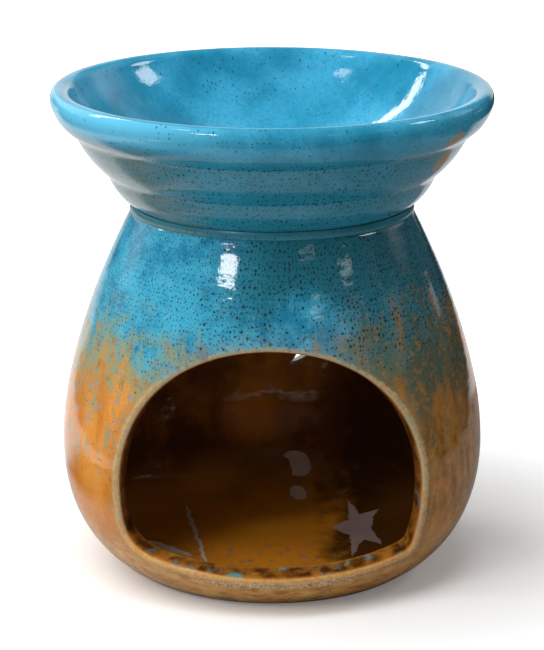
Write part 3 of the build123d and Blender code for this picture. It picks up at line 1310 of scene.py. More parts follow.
def new_glaze(name: str, ior: float) -> tuple[bpy.types.Material, Wiring, bpy.types.Node]:
    """Start a glossy material.

    Args:
        name: Name of the material.
        ior: Index of refraction of the glaze.

    Returns:
        The material, its wiring and its shader node.
    """
    material = bpy.data.materials.new(name)
    material.use_nodes = True
    shader = material.node_tree.nodes["Principled BSDF"]
    shader.inputs["IOR"].default_value = ior
    return material, Wiring(material.node_tree), shader


def around(
    w: Wiring, parts: bpy.types.Node, azimuth: float, start: float, full: float
) -> Socket:
    """Share of one side of the pot.

    Args:
        w: The material's wiring.
        parts: The node that separates object coordinates.
        azimuth: Middle of the side in degrees, 0 in front and positive to the right.
        start: Cosine of the angle from the middle at which the share starts.
        full: Cosine at which it is full.

    Returns:
        1 towards the azimuth and 0 away from it.
    """
    right, ahead = math.sin(math.radians(azimuth)), -math.cos(math.radians(azimuth))
    flat = w.node("ShaderNodeCombineXYZ", {"X": parts.outputs[0], "Y": parts.outputs[1]}).outputs[0]
    inputs = {"Vector": w.vector("NORMALIZE", flat), "Vector_001": (right, ahead, 0.0)}
    facing = w.node("ShaderNodeVectorMath", inputs, operation="DOT_PRODUCT")
    return w.ease(facing.outputs["Value"], start, full)


@dataclass(frozen=True)
class TurquoiseGlaze:
    """Glossy turquoise with fine iron speckle, on the bowl and on the bead under it."""

    name: str
    deep: Colour = (0.015, 0.245, 0.405, 1.0)
    bright: Colour = (0.060, 0.430, 0.670, 1.0)
    pale: Colour = (0.110, 0.430, 0.590, 1.0)
    shaded: Colour = (0.022, 0.215, 0.300, 1.0)
    iron: Colour = (0.010, 0.060, 0.075, 1.0)
    rust: Colour = (0.200, 0.100, 0.035, 1.0)
    thin_glaze_and_reflection: Colour = (0.180, 0.245, 0.235, 1.0)
    bare: Colour = (0.400, 0.200, 0.050, 1.0)
    lip: Colour = (0.120, 0.520, 0.760, 1.0)
    rim_height: float = 0.1185
    groove_heights: tuple[float, ...] = (0.1022, 0.1125)
    bare_spots: tuple[tuple[float, float, float], ...] = (
        (0.0415, -0.0235, 0.1090),
        (0.0440, -0.0300, 0.1150),
    )
    roughness: float = 0.06
    ior: float = 1.52

    def material(self, effects: GlazeEffects) -> bpy.types.Material:
        """Build the material.

        Args:
            effects: The shared node groups.

        Returns:
            The new material.
        """
        material, w, shader = new_glaze(self.name, self.ior)
        place = w.coordinates("Object")
        parts = w.split(place)
        height = parts.outputs[2]
        patches = w.noise(place, 0.016, 3.0, 0.5)
        colour = w.blend(w.ease(patches, 0.3, 0.7), self.deep, self.bright)
        grain = w.noise(place, 0.0009, 2.0, 0.7)
        colour = w.blend(w.ease(grain, 0.42, 0.75, 0.0, 0.6), colour, self.deep)
        mottle = w.noise(place, 0.0034, 4.0, 0.7)
        colour = w.blend(w.ease(mottle, 0.5, 0.8, 0.0, 0.4), colour, self.pale)
        facing = w.split(w.coordinates("Normal"))
        # Painted light: the lip turns a lighter blue on its left side, where the light falls.
        lip = w.product(w.ease(height, self.rim_height - 0.004, self.rim_height),
                        around(w, parts, -66.0, 0.4, 0.95))
        colour = w.blend(w.product(lip, w.ease(facing.outputs[2], 0.95, 0.8)), colour, self.lip)
        under = w.ease(height, self.rim_height, self.rim_height - 0.006)
        under = w.product(under, w.ease(facing.outputs[2], 0.1, -0.1))
        colour = w.blend(w.product(under, w.ease(mottle, 0.3, 0.7, 0.6, 0.98)), colour, self.shaded)
        # Grey-tan on the left of the ribs: thin glaze and a painted reflection of the pale floor.
        left = w.product(around(w, parts, -62.0, 0.72, 0.97), under)
        colour = w.blend(w.product(left, w.ease(mottle, 0.3, 0.6, 0.5, 0.9)), colour, self.thin_glaze_and_reflection)
        well = w.ease(facing.outputs[2], 0.25, 0.35)
        gather = w.ease(w.noise(place, 0.014, 2.0), 0.38, 0.65, 0.04, 0.45)
        gather = w.most(gather, w.product(under, 0.92))
        dots = w.use(effects.speckle, {
            "Place": place, "Level": well, "Spacing": 0.00110, "Size": 0.00021, "Presence": gather})
        colour = w.blend(w.product(dots.outputs[0], 0.68), colour, self.iron)
        front = w.product(around(w, parts, 18.0, 0.45, 0.85), w.ease(height, 0.115, 0.111))
        coarse = w.use(effects.speckle,
                       {"Place": place, "Spacing": 0.0015, "Size": 0.00030,
                        "Presence": w.product(front, 0.8)})
        colour = w.blend(w.product(coarse.outputs[0], under, 0.85), colour, self.iron)
        for line in self.groove_heights:
            beside = w.maths("ABSOLUTE", w.maths("SUBTRACT", height, line))
            beaded = w.use(effects.speckle,
                           {"Place": place, "Spacing": 0.0011, "Size": 0.00036,
                            "Presence": w.ease(patches, 0.3, 0.7, 0.5, 1.0)})
            near = w.product(beaded.outputs[0], w.ease(beside, 0.0009, 0.0003))
            tint = w.blend(around(w, parts, 10.0, 0.3, 0.9), self.rust, self.iron)
            colour = w.blend(w.product(near, under, 0.9), colour, tint)
        for spot in self.bare_spots:
            gap = w.distance(place, spot)
            ragged = w.total(gap, w.swing(mottle, 0.008))
            colour = w.blend(w.product(w.ease(ragged, 0.0036, 0.0022), 0.9), colour, self.bare)
        w.tree.links.new(colour, shader.inputs["Base Color"])
        rough = w.ease(grain, 0.3, 0.8, self.roughness - 0.02, self.roughness + 0.04)
        w.tree.links.new(rough, shader.inputs["Roughness"])
        skin = w.use(effects.peel, {"Place": place})
        bump = w.node("ShaderNodeBump", {"Height": skin.outputs[0], "Distance": 1.0})
        w.tree.links.new(bump.outputs[0], shader.inputs["Normal"])
        return material


@dataclass(frozen=True)
class ReactiveGlaze:
    """Turquoise over amber that runs out down the pot, pale on edges, dark amber inside, with painted
    light and shade.
    """

    name: str = "reactive_glaze"
    turquoise: Colour = (0.060, 0.440, 0.650, 1.0)
    clear_blue: Colour = (0.016, 0.235, 0.430, 1.0)
    teal: Colour = (0.018, 0.165, 0.225, 1.0)
    sage: Colour = (0.190, 0.330, 0.240, 1.0)
    tan: Colour = (0.420, 0.300, 0.120, 1.0)
    amber: Colour = (0.760, 0.300, 0.048, 1.0)
    deep_amber: Colour = (0.630, 0.210, 0.022, 1.0)
    rust: Colour = (0.360, 0.150, 0.040, 1.0)
    foot: Colour = (0.720, 0.345, 0.070, 1.0)
    slate: Colour = (0.055, 0.085, 0.060, 1.0)
    brown: Colour = (0.330, 0.150, 0.030, 1.0)
    dark_rust: Colour = (0.130, 0.052, 0.012, 1.0)
    light_brown: Colour = (0.480, 0.235, 0.055, 1.0)
    sky: Colour = (0.095, 0.480, 0.700, 1.0)
    cream: Colour = (0.540, 0.410, 0.210, 1.0)
    blot_place: tuple[float, float, float] = (-0.0088, -0.0462, 0.0108)
    pale_green: Colour = (0.330, 0.430, 0.290, 1.0)
    iron: Colour = (0.020, 0.018, 0.014, 1.0)
    teal_iron: Colour = (0.010, 0.060, 0.072, 1.0)
    jamb: Colour = (0.110, 0.036, 0.007, 1.0)
    jamb_light: Colour = (0.270, 0.095, 0.014, 1.0)
    jamb_dark: Colour = (0.045, 0.013, 0.003, 1.0)
    sill_amber: Colour = (0.480, 0.185, 0.022, 1.0)
    sill_pale_and_highlight: Colour = (0.740, 0.430, 0.150, 1.0)
    sill_blue: Colour = (0.110, 0.300, 0.285, 1.0)
    crumb: Colour = (0.760, 0.660, 0.420, 1.0)
    inner_edge_pale_and_highlight: Colour = (0.420, 0.420, 0.270, 1.0)
    foot_dark: Colour = (0.440, 0.190, 0.034, 1.0)
    foot_pale: Colour = (0.780, 0.450, 0.130, 1.0)
    inside_wall: Colour = (0.200, 0.066, 0.014, 1.0)
    inside_brown: Colour = (0.420, 0.155, 0.022, 1.0)
    floor_amber: Colour = (0.920, 0.325, 0.020, 1.0)
    floor_blue: Colour = (0.080, 0.190, 0.200, 1.0)
    inside_painted_shade: Colour = (0.060, 0.020, 0.005, 1.0)
    mirrored: Colour = (0.600, 0.440, 0.400, 1.0)
    mirrored_far: Colour = (1.000, 0.840, 0.720, 1.0)
    painted_light_place: tuple[float, float, float] = (-0.0040, 0.0460, 0.0240)
    look_in_degrees: float = 17.5
    star_image: tuple[float, float] = (0.0224, 0.0071)
    star_image_radius: float = 0.0069
    star_turn: float = 20.0
    moon_bite: tuple[float, float, float] = (0.0012, 0.0212, 0.0042)
    star_edge_degrees: float = 67.4
    vent_images: tuple[tuple[float, float, float, float, float], ...] = (
        (0.0066, 0.0232, 0.0037, 0.0034, -0.25),
        (0.0070, 0.0155, 0.0023, 0.0018, -0.3),
        (-0.0196, 0.0056, 0.0006, 0.0068, -0.48),
        (-0.0259, 0.0023, 0.0015, 0.0018, -2.86),
    )
    clear_place: tuple[float, float, float] = (0.0085, -0.0425, 0.0740)
    roughness: float = 0.06
    ior: float = 1.52

    def material(self, effects: GlazeEffects) -> bpy.types.Material:
        """Build the material.

        Args:
            effects: The shared node groups.

        Returns:
            The new material.
        """
        material, w, shader = new_glaze(self.name, self.ior)
        place = w.coordinates("Object")
        grain = w.noise(place, 0.0008, 2.0, 0.7)
        outside = self._outside(w, effects, place, grain)
        inside = self._inside(w, effects, place)
        inside_share = w.ease(w.attribute("inside"), 0.15, 0.35)
        colour = w.blend(inside_share, outside, inside)
        colour = self._edges(w, effects, place, colour)
        w.tree.links.new(colour, shader.inputs["Base Color"])
        rough = w.ease(grain, 0.3, 0.8, self.roughness - 0.02, self.roughness + 0.04)
        w.tree.links.new(rough, shader.inputs["Roughness"])
        skin = w.use(effects.peel,
                     {"Place": place, "Wave": w.ease(inside_share, 0.0, 1.0, 0.00004, 0.00016)})
        bump = w.node("ShaderNodeBump", {"Height": skin.outputs[0], "Distance": 1.0})
        w.tree.links.new(bump.outputs[0], shader.inputs["Normal"])
        return material

    def _outside(
        self, w: Wiring, effects: GlazeEffects, place: Socket, grain: Socket
    ) -> Socket:
        """Turquoise shoulder, sage and tan run-out and amber belly, with streaks and iron, and painted
        shade on the right and under the bowl.

        Args:
            w: The material's wiring.
            effects: The shared node groups.
            place: Object coordinates.
            grain: Fine noise.

        Returns:
            Colour of the outside.
        """
        parts = w.split(place)
        height = parts.outputs[2]
        right_side = around(w, parts, 78.0, 0.60, 0.87)
        left_side = around(w, parts, -70.0, 0.60, 0.95)
        front_right = around(w, parts, 28.0, 0.55, 0.92)
        runs = w.use(effects.runs, {"Place": place, "Width": 0.0026, "Stretch": 2.6})
        streaks, patches = runs.outputs[0], runs.outputs[1]
        mottle = w.noise(place, 0.0046, 5.0, 0.72)
        wide = w.noise(place, 0.020, 2.0)
        stray = w.swing(streaks, 0.030)
        stray = w.total(stray, w.swing(mottle, 0.040))
        stray = w.total(stray, w.swing(wide, 0.024))
        stray = w.total(stray, w.swing(grain, 0.026))
        level = w.maths("SUBTRACT", w.total(height, stray), w.product(right_side, 0.004))
        level = w.maths("SUBTRACT", level, w.product(left_side, 0.006))
        blue = w.blend(w.ease(w.noise(place, 0.010, 4.0, 0.65), 0.34, 0.62), self.clear_blue,
                       self.turquoise)
        clear = w.distance(place, self.clear_place)
        clear = w.ease(w.total(clear, w.product(stray, 0.2)), 0.011, 0.004, 0.0, 0.85)
        # Teal under the bowl on the front right and lower on the right: partly the glaze, partly painted
        # shade.
        dark = w.product(front_right, w.ease(w.total(height, w.product(stray, 0.25)), 0.066, 0.082))
        lower_right = w.product(around(w, parts, 58.0, 0.74, 0.95), w.ease(height, 0.045, 0.056))
        dark = w.most(dark, w.product(lower_right, w.ease(mottle, 0.3, 0.6, 0.5, 0.95)))
        blue = w.blend(w.product(dark, w.flip(clear)), blue, self.teal)
        blue = w.blend(w.ease(grain, 0.45, 0.8, 0.0, 0.45), blue, self.teal)
        sky = w.product(w.ease(w.noise(place, 0.0042, 4.0, 0.7), 0.50, 0.68), w.flip(dark))
        blue = w.blend(w.product(sky, 0.6), blue, self.sky)
        olive = w.product(w.ease(w.noise(place, 0.0016, 3.0, 0.7), 0.52, 0.70),
                          w.ease(level, 0.088, 0.064))
        blue = w.blend(w.product(olive, 0.55), blue, self.sage)
        amber = w.blend(w.ease(patches, 0.38, 0.62), self.deep_amber, self.amber)
        fine_mottle = w.noise(place, 0.0015, 4.0, 0.75)
        amber = w.blend(w.ease(fine_mottle, 0.50, 0.70, 0.0, 0.5), amber, self.rust)
        amber = w.blend(w.ease(fine_mottle, 0.46, 0.30, 0.0, 0.5), amber, self.tan)
        ledges = w.use(effects.runs, {"Place": place, "Width": 0.0060, "Stretch": 0.35}).outputs[0]
        base = w.blend(w.ease(ledges, 0.38, 0.52), self.foot_dark, self.foot)
        base = w.blend(w.ease(ledges, 0.52, 0.64), base, self.foot_pale)
        base = w.blend(w.ease(fine_mottle, 0.50, 0.68, 0.0, 0.6), base, self.foot_dark)
        amber = w.blend(w.ease(w.total(height, w.product(stray, 0.3)), 0.022, 0.008), amber, base)
        sage_runs = w.product(w.ease(streaks, 0.52, 0.64), w.ease(height, 0.020, 0.045))
        amber = w.blend(w.product(sage_runs, 0.7), amber, self.sage)
        colour = w.blend(w.ease(level, 0.040, 0.053), amber, self.tan)
        colour = w.blend(w.ease(level, 0.049, 0.062), colour, self.sage)
        rust = w.use(effects.spots, {"Place": place, "Size": 0.0036, "Share": 0.50})
        zone = w.product(w.ease(level, 0.040, 0.050), w.ease(level, 0.078, 0.064))
        colour = w.blend(w.product(rust.outputs[0], zone, 0.75), colour, self.rust)
        colour = w.blend(w.ease(level, 0.056, 0.070), colour, blue)
        flecks = w.use(effects.spots, {"Place": place, "Size": 0.0026, "Share": 0.42})
        fleck_zone = w.product(w.ease(height, 0.034, 0.052), w.ease(height, 0.076, 0.066))
        colour = w.blend(w.product(flecks.outputs[0], fleck_zone, 0.8), colour, blue)
        # The right side turns to slate and brown: partly the glaze's own colours, partly painted shade
        # on the side away from the key light.
        slate = w.blend(w.ease(w.total(patches, w.swing(mottle, 0.5)), 0.49, 0.66), self.slate,
                        self.brown)
        low_brown = w.blend(w.ease(streaks, 0.50, 0.62), self.brown, self.light_brown)
        low_brown = w.blend(w.ease(streaks, 0.48, 0.38, 0.0, 0.75), low_brown, self.dark_rust)
        low_brown = w.blend(w.ease(mottle, 0.52, 0.66, 0.0, 0.7), low_brown, self.deep_amber)
        slate = w.blend(w.ease(w.total(height, stray), 0.054, 0.036), slate, low_brown)
        slate = w.blend(w.ease(fine_mottle, 0.50, 0.66, 0.0, 0.45), slate, self.deep_amber)
        slate = w.blend(w.ease(fine_mottle, 0.44, 0.32, 0.0, 0.5), slate, self.slate)
        slate_and_painted_shade_zone = w.ease(w.total(height, stray), 0.079, 0.060, 0.06, 0.9)
        painted_shade_side = w.most(right_side, w.product(around(w, parts, 52.0, 0.76, 0.94), 0.75))
        slate_and_painted_shade_zone = w.product(slate_and_painted_shade_zone, painted_shade_side, w.ease(height, 0.010, 0.030, 0.35, 1.0))
        colour = w.blend(slate_and_painted_shade_zone, colour, slate)
        limb = w.product(around(w, parts, 92.0, 0.955, 0.985), w.ease(height, 0.034, 0.042))
        limb = w.product(limb, w.ease(w.total(height, w.product(stray, 0.4)), 0.070, 0.062))
        colour = w.blend(w.product(limb, 0.8), colour, self.amber)
        dotted = w.flip(w.product(clear, 0.85))
        gather = w.product(w.ease(level, 0.054, 0.068, 0.05, 0.97), dotted)
        fine = w.use(effects.speckle,
                     {"Place": place, "Spacing": 0.00104, "Size": 0.00023, "Presence": gather})
        colour = w.blend(w.product(fine.outputs[0], 0.85), colour, self.teal_iron)
        gather = w.product(w.most(front_right, lower_right), w.ease(height, 0.058, 0.074, 0.0, 0.95))
        gather = w.product(gather, dotted)
        coarse = w.use(effects.speckle,
                       {"Place": place, "Spacing": 0.00138, "Size": 0.00031, "Presence": gather})
        return w.blend(w.product(coarse.outputs[0], 0.88), colour, self.iron)

    def _inside(
        self, w: Wiring, effects: GlazeEffects, place: Socket
    ) -> Socket:
        """Dark amber, lighter where it pooled on the floor, with flecks by the sill, painted light and
        shade and painted vent reflections.

        Args:
            w: The material's wiring.
            effects: The shared node groups.
            place: Object coordinates.

        Returns:
            Colour of the inside.
        """
        parts = w.split(place)
        height, ahead, right = parts.outputs[2], parts.outputs[1], parts.outputs[0]
        cloud = w.noise(place, 0.011, 4.0, 0.6)
        wall = w.blend(w.ease(cloud, 0.42, 0.68), self.inside_wall, self.inside_brown)
        # Painted light: a lit amber patch low on the back of the inside.
        glow = w.distance(place, self.painted_light_place)
        glow = w.total(glow, w.swing(cloud, 0.02))
        wall = w.blend(w.product(w.ease(glow, 0.013, 0.003), 0.8), wall, self.floor_amber)
        # The floor is lighter amber towards the arch: glaze pooled there, and painted light where light
        # falls in through the arch.
        drift = w.swing(cloud, 0.03)
        pooled_and_lit_floor = w.blend(w.ease(w.total(ahead, drift), 0.048, 0.012), self.inside_brown, self.floor_amber)
        colour = w.blend(w.ease(height, 0.017, 0.008), wall, pooled_and_lit_floor)
        # Painted shade: the inside turns dark towards its right side, and a little towards its left.
        colour = w.blend(w.ease(w.total(right, drift), 0.011, 0.023, 0.0, 0.92), colour,
                         self.inside_painted_shade)
        colour = w.blend(w.ease(w.total(right, drift), -0.016, -0.030, 0.0, 0.3), colour,
                         self.inside_painted_shade)
        squeezed = w.node("ShaderNodeCombineXYZ",
                          {"X": right, "Y": w.product(ahead, 0.45), "Z": height})
        flecks = w.use(effects.spots, {"Place": squeezed.outputs[0], "Size": 0.0024, "Share": 0.50})
        zone = w.product(w.ease(ahead, 0.004, -0.016), w.ease(height, 0.018, 0.012))
        zone = w.product(zone, w.ease(w.maths("ABSOLUTE", right), 0.028, 0.016))
        colour = w.blend(w.product(flecks.outputs[0], zone, 0.6), colour, self.floor_blue)
        # Painted reflections: pale images of the vents on the floor, made lighter towards the back.
        pale = w.most(w.ease(ahead, 0.012, 0.026), w.ease(right, -0.010, -0.016))
        pale = w.blend(pale, self.mirrored, self.mirrored_far)
        return w.blend(w.product(self._mirrored_vents(w, place), 0.8), colour, pale)

    def _mirrored_vents(self, w: Wiring, place: Socket) -> Socket:
        """Pale painted images that stand for the vents' reflections, upright as one looks in.

        Args:
            w: The material's wiring.
            place: Object coordinates.

        Returns:
            1 on the images and 0 round them.
        """
        slant = math.radians(self.look_in_degrees)
        parts = w.split(place)
        lift = w.total(w.product(parts.outputs[2], math.cos(slant)),
                       w.product(parts.outputs[1], math.sin(slant)))
        uneven = w.swing(w.noise(place, 0.0035, 2.0), 0.0022)
        across = w.total(parts.outputs[0], uneven)
        star_right, star_up = self.star_image
        aside, above = w.maths("SUBTRACT", across, star_right), w.maths("SUBTRACT", lift, star_up)
        turn = w.maths("DIVIDE",
                       w.total(w.maths("ARCTAN2", aside, above), math.radians(self.star_turn)),
                       math.tau / 5)
        fold = w.maths("ABSOLUTE", w.maths("SUBTRACT", w.maths("FRACT", w.total(turn, 0.5)), 0.5))
        lean = w.maths("SUBTRACT", w.product(fold, math.tau / 5), math.radians(self.star_edge_degrees))
        reach = w.maths("SQRT", w.total(w.maths("POWER", aside, 2.0), w.maths("POWER", above, 2.0)))
        edge = self.star_image_radius * math.cos(math.radians(self.star_edge_degrees))
        found = w.ease(w.product(reach, w.maths("COSINE", lean)), edge + 0.0002, edge - 0.0002)
        bite_right, bite_up, bite_radius = self.moon_bite
        bite = w.total(w.maths("POWER", w.maths("SUBTRACT", across, bite_right), 2.0),
                       w.maths("POWER", w.maths("SUBTRACT", lift, bite_up), 2.0))
        outside_bite = w.ease(w.maths("SQRT", bite), bite_radius - 0.0001, bite_radius + 0.0002)
        for right, up, half_width, half_height, lean_share in self.vent_images:
            above = w.maths("SUBTRACT", lift, up)
            aside = w.maths("SUBTRACT", w.maths("SUBTRACT", across, right),
                            w.product(above, lean_share))
            oval = w.total(w.maths("POWER", w.maths("ABSOLUTE", w.maths("DIVIDE", aside, half_width)),
                                   2.4),
                           w.maths("POWER", w.maths("ABSOLUTE", w.maths("DIVIDE", above, half_height)),
                                   2.4))
            image = w.product(w.ease(oval, 1.15, 0.85), outside_bite)
            found = w.most(found, image)
        return found

    def _edges(
        self, w: Wiring, effects: GlazeEffects, place: Socket, colour: Socket
    ) -> Socket:
        """Glaze thins to a pale line over the cut edges and runs brown down the jambs; on the sill and
        the inner edge the pale line is partly a painted highlight.

        Args:
            w: The material's wiring.
            effects: The shared node groups.
            place: Object coordinates.
            colour: Colour before the edges.

        Returns:
            Colour with the edges.
        """
        parts = w.split(place)
        height, right = parts.outputs[2], parts.outputs[0]
        outer, inner = w.attribute("outer_run"), w.attribute("inner_run")
        ragged = w.noise(place, 0.0011, 4.0, 0.75)
        drift = w.noise(place, 0.007, 2.0)
        crumbs = w.noise(place, 0.0007, 3.0, 0.7)
        stray = w.swing(ragged, 0.0032)
        outside = w.total(outer, stray)
        low = w.ease(height, 0.062, 0.040)
        halo = w.product(w.ease(outside, 0.0044, 0.0002), w.ease(drift, 0.3, 0.7, 0.2, 0.85))
        halo = w.product(halo, w.ease(outer, -0.0019, -0.0012))
        halo_colour = w.blend(w.ease(ragged, 0.4, 0.6), self.rust, self.tan)
        colour = w.blend(w.product(halo, w.total(w.product(low, 0.50), 0.30)), colour, halo_colour)
        jamb = self._jamb(w, effects, place, outer, inner)
        in_jamb = w.product(w.ease(outer, -0.0009, -0.0017), w.ease(inner, 0.0002, -0.0003))
        colour = w.blend(in_jamb, colour, jamb)
        upper = w.ease(height, 0.052, 0.066)
        reach = w.ease(upper, 0.0, 1.0, 0.0008, 0.0001)
        band = w.product(w.ease(outside, reach, w.maths("SUBTRACT", reach, 0.0008)),
                         w.ease(outer, -0.0017, -0.0011))
        tint = w.blend(w.ease(drift, 0.46, 0.64), self.cream, self.pale_green)
        # On the sill the pale band turns lighter: thin glaze, with a painted highlight.
        tint = w.blend(w.ease(height, 0.024, 0.015), tint, self.sill_pale_and_highlight)
        tint = w.blend(w.ease(ragged, 0.46, 0.66, 0.0, 0.75), tint, self.deep_amber)
        colour = w.blend(w.product(band, w.ease(crumbs, 0.34, 0.52, 0.45, 0.95)), colour, tint)
        beneath = w.product(w.ease(outer, -0.0006, 0.0004), w.ease(outer, 0.0034, 0.0020))
        beneath = w.product(beneath, w.ease(height, 0.0135, 0.0115))
        beneath = w.product(beneath,
                            w.ease(w.maths("ABSOLUTE", w.maths("SUBTRACT", right, 0.002)), 0.026,
                                   0.012))
        colour = w.blend(w.product(beneath, w.ease(crumbs, 0.46, 0.60), 0.8), colour, self.crumb)
        # A pale line along the inner edge: thin glaze and a painted highlight.
        inner_edge_pale_and_highlight = w.product(w.ease(inner, -0.0009, -0.0004), w.ease(inner, 0.0001, -0.0001))
        return w.blend(w.product(inner_edge_pale_and_highlight, w.ease(ragged, 0.3, 0.6, 0.25, 0.7)), colour, self.inner_edge_pale_and_highlight)

    def _jamb(
        self,
        w: Wiring,
        effects: GlazeEffects,
        place: Socket,
        outer: Socket,
        inner: Socket,
    ) -> Socket:
        """Glaze pooled on the cut face: dark along its middle, amber beside, blue blots on the sill.

        Args:
            w: The material's wiring.
            effects: The shared node groups.
            place: Object coordinates.
            outer: Distance outwards from the outer edge of the cut.
            inner: Distance inwards from the inner edge of the cut.

        Returns:
            Colour of the cut face.
        """
        parts = w.split(place)
        height, right = parts.outputs[2], parts.outputs[0]
        cloud = w.noise(place, 0.0040, 3.0, 0.55)
        middle = w.product(w.ease(outer, -0.0010, -0.0023), w.ease(inner, -0.0004, -0.0018))
        middle = w.product(middle, w.ease(cloud, 0.36, 0.70, 1.0, 0.25))
        light = w.blend(w.ease(right, -0.02, 0.03), self.jamb, self.jamb_light)
        light = w.blend(w.ease(height, 0.022, 0.015), light, self.sill_amber)
        light = w.blend(w.product(w.ease(inner, -0.0024, -0.0036), 0.4), light, self.deep_amber)
        colour = w.blend(w.product(middle, 0.95), light, self.jamb_dark)
        blots = w.use(effects.spots, {"Place": place, "Size": 0.0044, "Share": 0.44})
        blots = w.product(blots.outputs[0], w.ease(height, 0.034, 0.017, 0.15, 0.72))
        near_left = w.distance(place, self.blot_place)
        near_left = w.total(near_left, w.swing(cloud, 0.003))
        blots = w.most(blots, w.ease(near_left, 0.0027, 0.0013, 0.0, 0.9))
        return w.blend(blots, colour, self.sill_blue)


@dataclass(frozen=True)
class Softbox:
    """A rectangular lamp that faces the pot."""

    name: str
    azimuth: float
    elevation: float
    distance: float
    width: float
    height: float
    radiance: float
    tilt: float = 0.0
    mirrored: bool = True

    def build(self, aim: Vector) -> None:
        """Hang the lamp round the pot, azimuth 0 in front and positive to the right.

        Args:
            aim: The point that the lamp faces.
        """
        data = bpy.data.lights.new(self.name, "AREA")
        data.shape = "RECTANGLE"
        data.size, data.size_y = self.width, self.height
        data.energy = math.pi * self.width * self.height * self.radiance
        lamp = bpy.data.objects.new(self.name, data)
        across, up = math.radians(self.azimuth), math.radians(self.elevation)
        away = Vector((math.sin(across) * math.cos(up), -math.cos(across) * math.cos(up), math.sin(up)))
        lamp.location = aim + self.distance * away
        upright = (-away).to_track_quat("-Z", "Y")
        lamp.rotation_euler = (upright @ Quaternion((0.0, 0.0, 1.0), math.radians(self.tilt))).to_euler()
        lamp.visible_glossy = self.mirrored
        bpy.context.scene.collection.objects.link(lamp)


